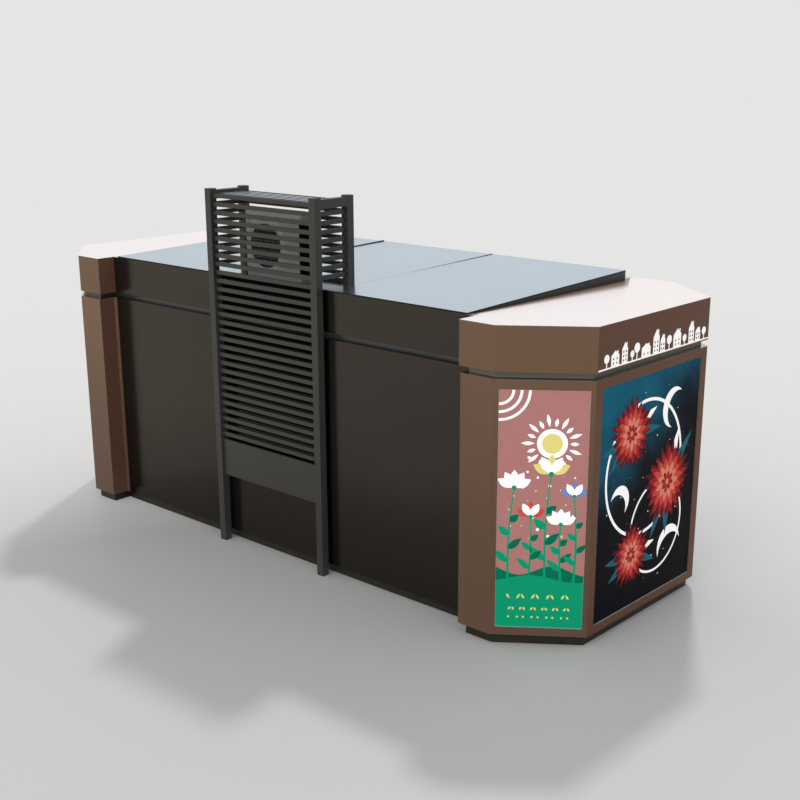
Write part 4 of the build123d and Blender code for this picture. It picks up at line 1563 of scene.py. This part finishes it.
def rounded_box(left, low, right, high, corner, points=6):
    """Outline of a box with rounded corners."""
    outline = []
    quarters = ((right, high, 1, 1), (left, high, -1, 1), (left, low, -1, -1), (right, low, 1, -1))
    for quarter, (u, v, over, up) in enumerate(quarters):
        for share in steps(points):
            turn = math.pi / 2 * (quarter + share)
            along, upward = math.cos(turn) - over, math.sin(turn) - up
            outline.append((u + corner * along, v + corner * upward))
    return outline


class KIOSK_OT_serving_front(bpy.types.Operator):
    """Finishes the shuttered serving front"""

    bl_idname = "kiosk.serving_front"
    bl_label = "Finish serving front"

    def execute(self, context):
        dress(("front_fascia", "front_soffit"), known(wall_panel), detail().panel_edge)
        dress(("front_posts",), known(plinth_coat), detail().bar_edge)
        dress(("front_shutters",), known(shutter_coat))
        return {"FINISHED"}


# A way that lies near each chamfer's own: shares along and across the kiosk
CHAMFER_EAST_SHARE = 0.6
CHAMFER_NORTH_SHARE = 0.8


class KIOSK_OT_posters(bpy.types.Operator):
    """Lays the printed films on the pods' end and chamfer panels"""

    bl_idname = "kiosk.posters"
    bl_label = "Lay printed films"

    def execute(self, context):
        night, garden = None, None
        for side, east in SIDES.items():
            end_panel, chamfer_panels = side + "_end_poster", side + "_chamfer_posters"
            dress((end_panel, chamfer_panels), known(backing_board))
            place, width, height = outer_face(end_panel, east)
            night = night or night_print(width, height)
            add_piece(side + "_end_film", night.copy(), place)
            for end, north in ENDS.items():
                way = (CHAMFER_EAST_SHARE * east, CHAMFER_NORTH_SHARE * north)
                place, width, height = outer_face(chamfer_panels, *way)
                garden = garden or garden_print(width, height)
                add_piece("_".join((side, end, "chamfer_film")), garden.copy(), place)
        return {"FINISHED"}


class KIOSK_OT_frieze(bpy.types.Operator):
    """Lays the white row of houses along both end headers"""

    bl_idname = "kiosk.frieze"
    bl_label = "Lay header frieze"

    def execute(self, context):
        row = None
        for side, east in SIDES.items():
            place, width, height = outer_face(side + "_header", east)
            row = row or frieze_print(width, height)
            add_piece(side + "_header_frieze", row.copy(), place)
        return {"FINISHED"}


class KIOSK_PT_dressing(bpy.types.Panel):
    """Lists the steps that dress the kiosk and the values they use"""

    bl_idname = "KIOSK_PT_dressing"
    bl_label = "Kiosk dressing"
    bl_space_type = "VIEW_3D"
    bl_region_type = "UI"
    bl_category = "Kiosk"

    def draw(self, context):
        for step in STEPS:
            self.layout.operator(step.bl_idname)
        for name in GROUPS:
            box = self.layout.box()
            values = getattr(context.scene, name)
            for key in values.bl_rna.properties.keys():
                if key not in ("rna_type", "name"):
                    box.prop(values, key)


GROUPS = {
    "kiosk_coats": KioskCoats,
    "kiosk_prints": KioskPrints,
    "kiosk_detail": KioskDetail,
    "kiosk_stage": KioskStage,
}
STEPS = (
    KIOSK_OT_stage,
    KIOSK_OT_pods,
    KIOSK_OT_middle_bay,
    KIOSK_OT_roof,
    KIOSK_OT_screen,
    KIOSK_OT_condenser,
    KIOSK_OT_serving_front,
    KIOSK_OT_posters,
    KIOSK_OT_frieze,
)


def register():
    for kind in (*GROUPS.values(), *STEPS, KIOSK_PT_dressing):
        bpy.utils.register_class(kind)
    for name, kind in GROUPS.items():
        setattr(bpy.types.Scene, name, PointerProperty(type=kind))


def unregister():
    for name in GROUPS:
        delattr(bpy.types.Scene, name)
    for kind in (KIOSK_PT_dressing, *reversed(STEPS), *reversed(GROUPS.values())):
        bpy.utils.unregister_class(kind)


def main():
    register()
    bpy.ops.kiosk.stage()
    bpy.ops.kiosk.pods()
    bpy.ops.kiosk.middle_bay()
    bpy.ops.kiosk.roof()
    bpy.ops.kiosk.screen()
    bpy.ops.kiosk.condenser()
    bpy.ops.kiosk.serving_front()
    bpy.ops.kiosk.posters()
    bpy.ops.kiosk.frieze()


if __name__ == "__main__":
    main()
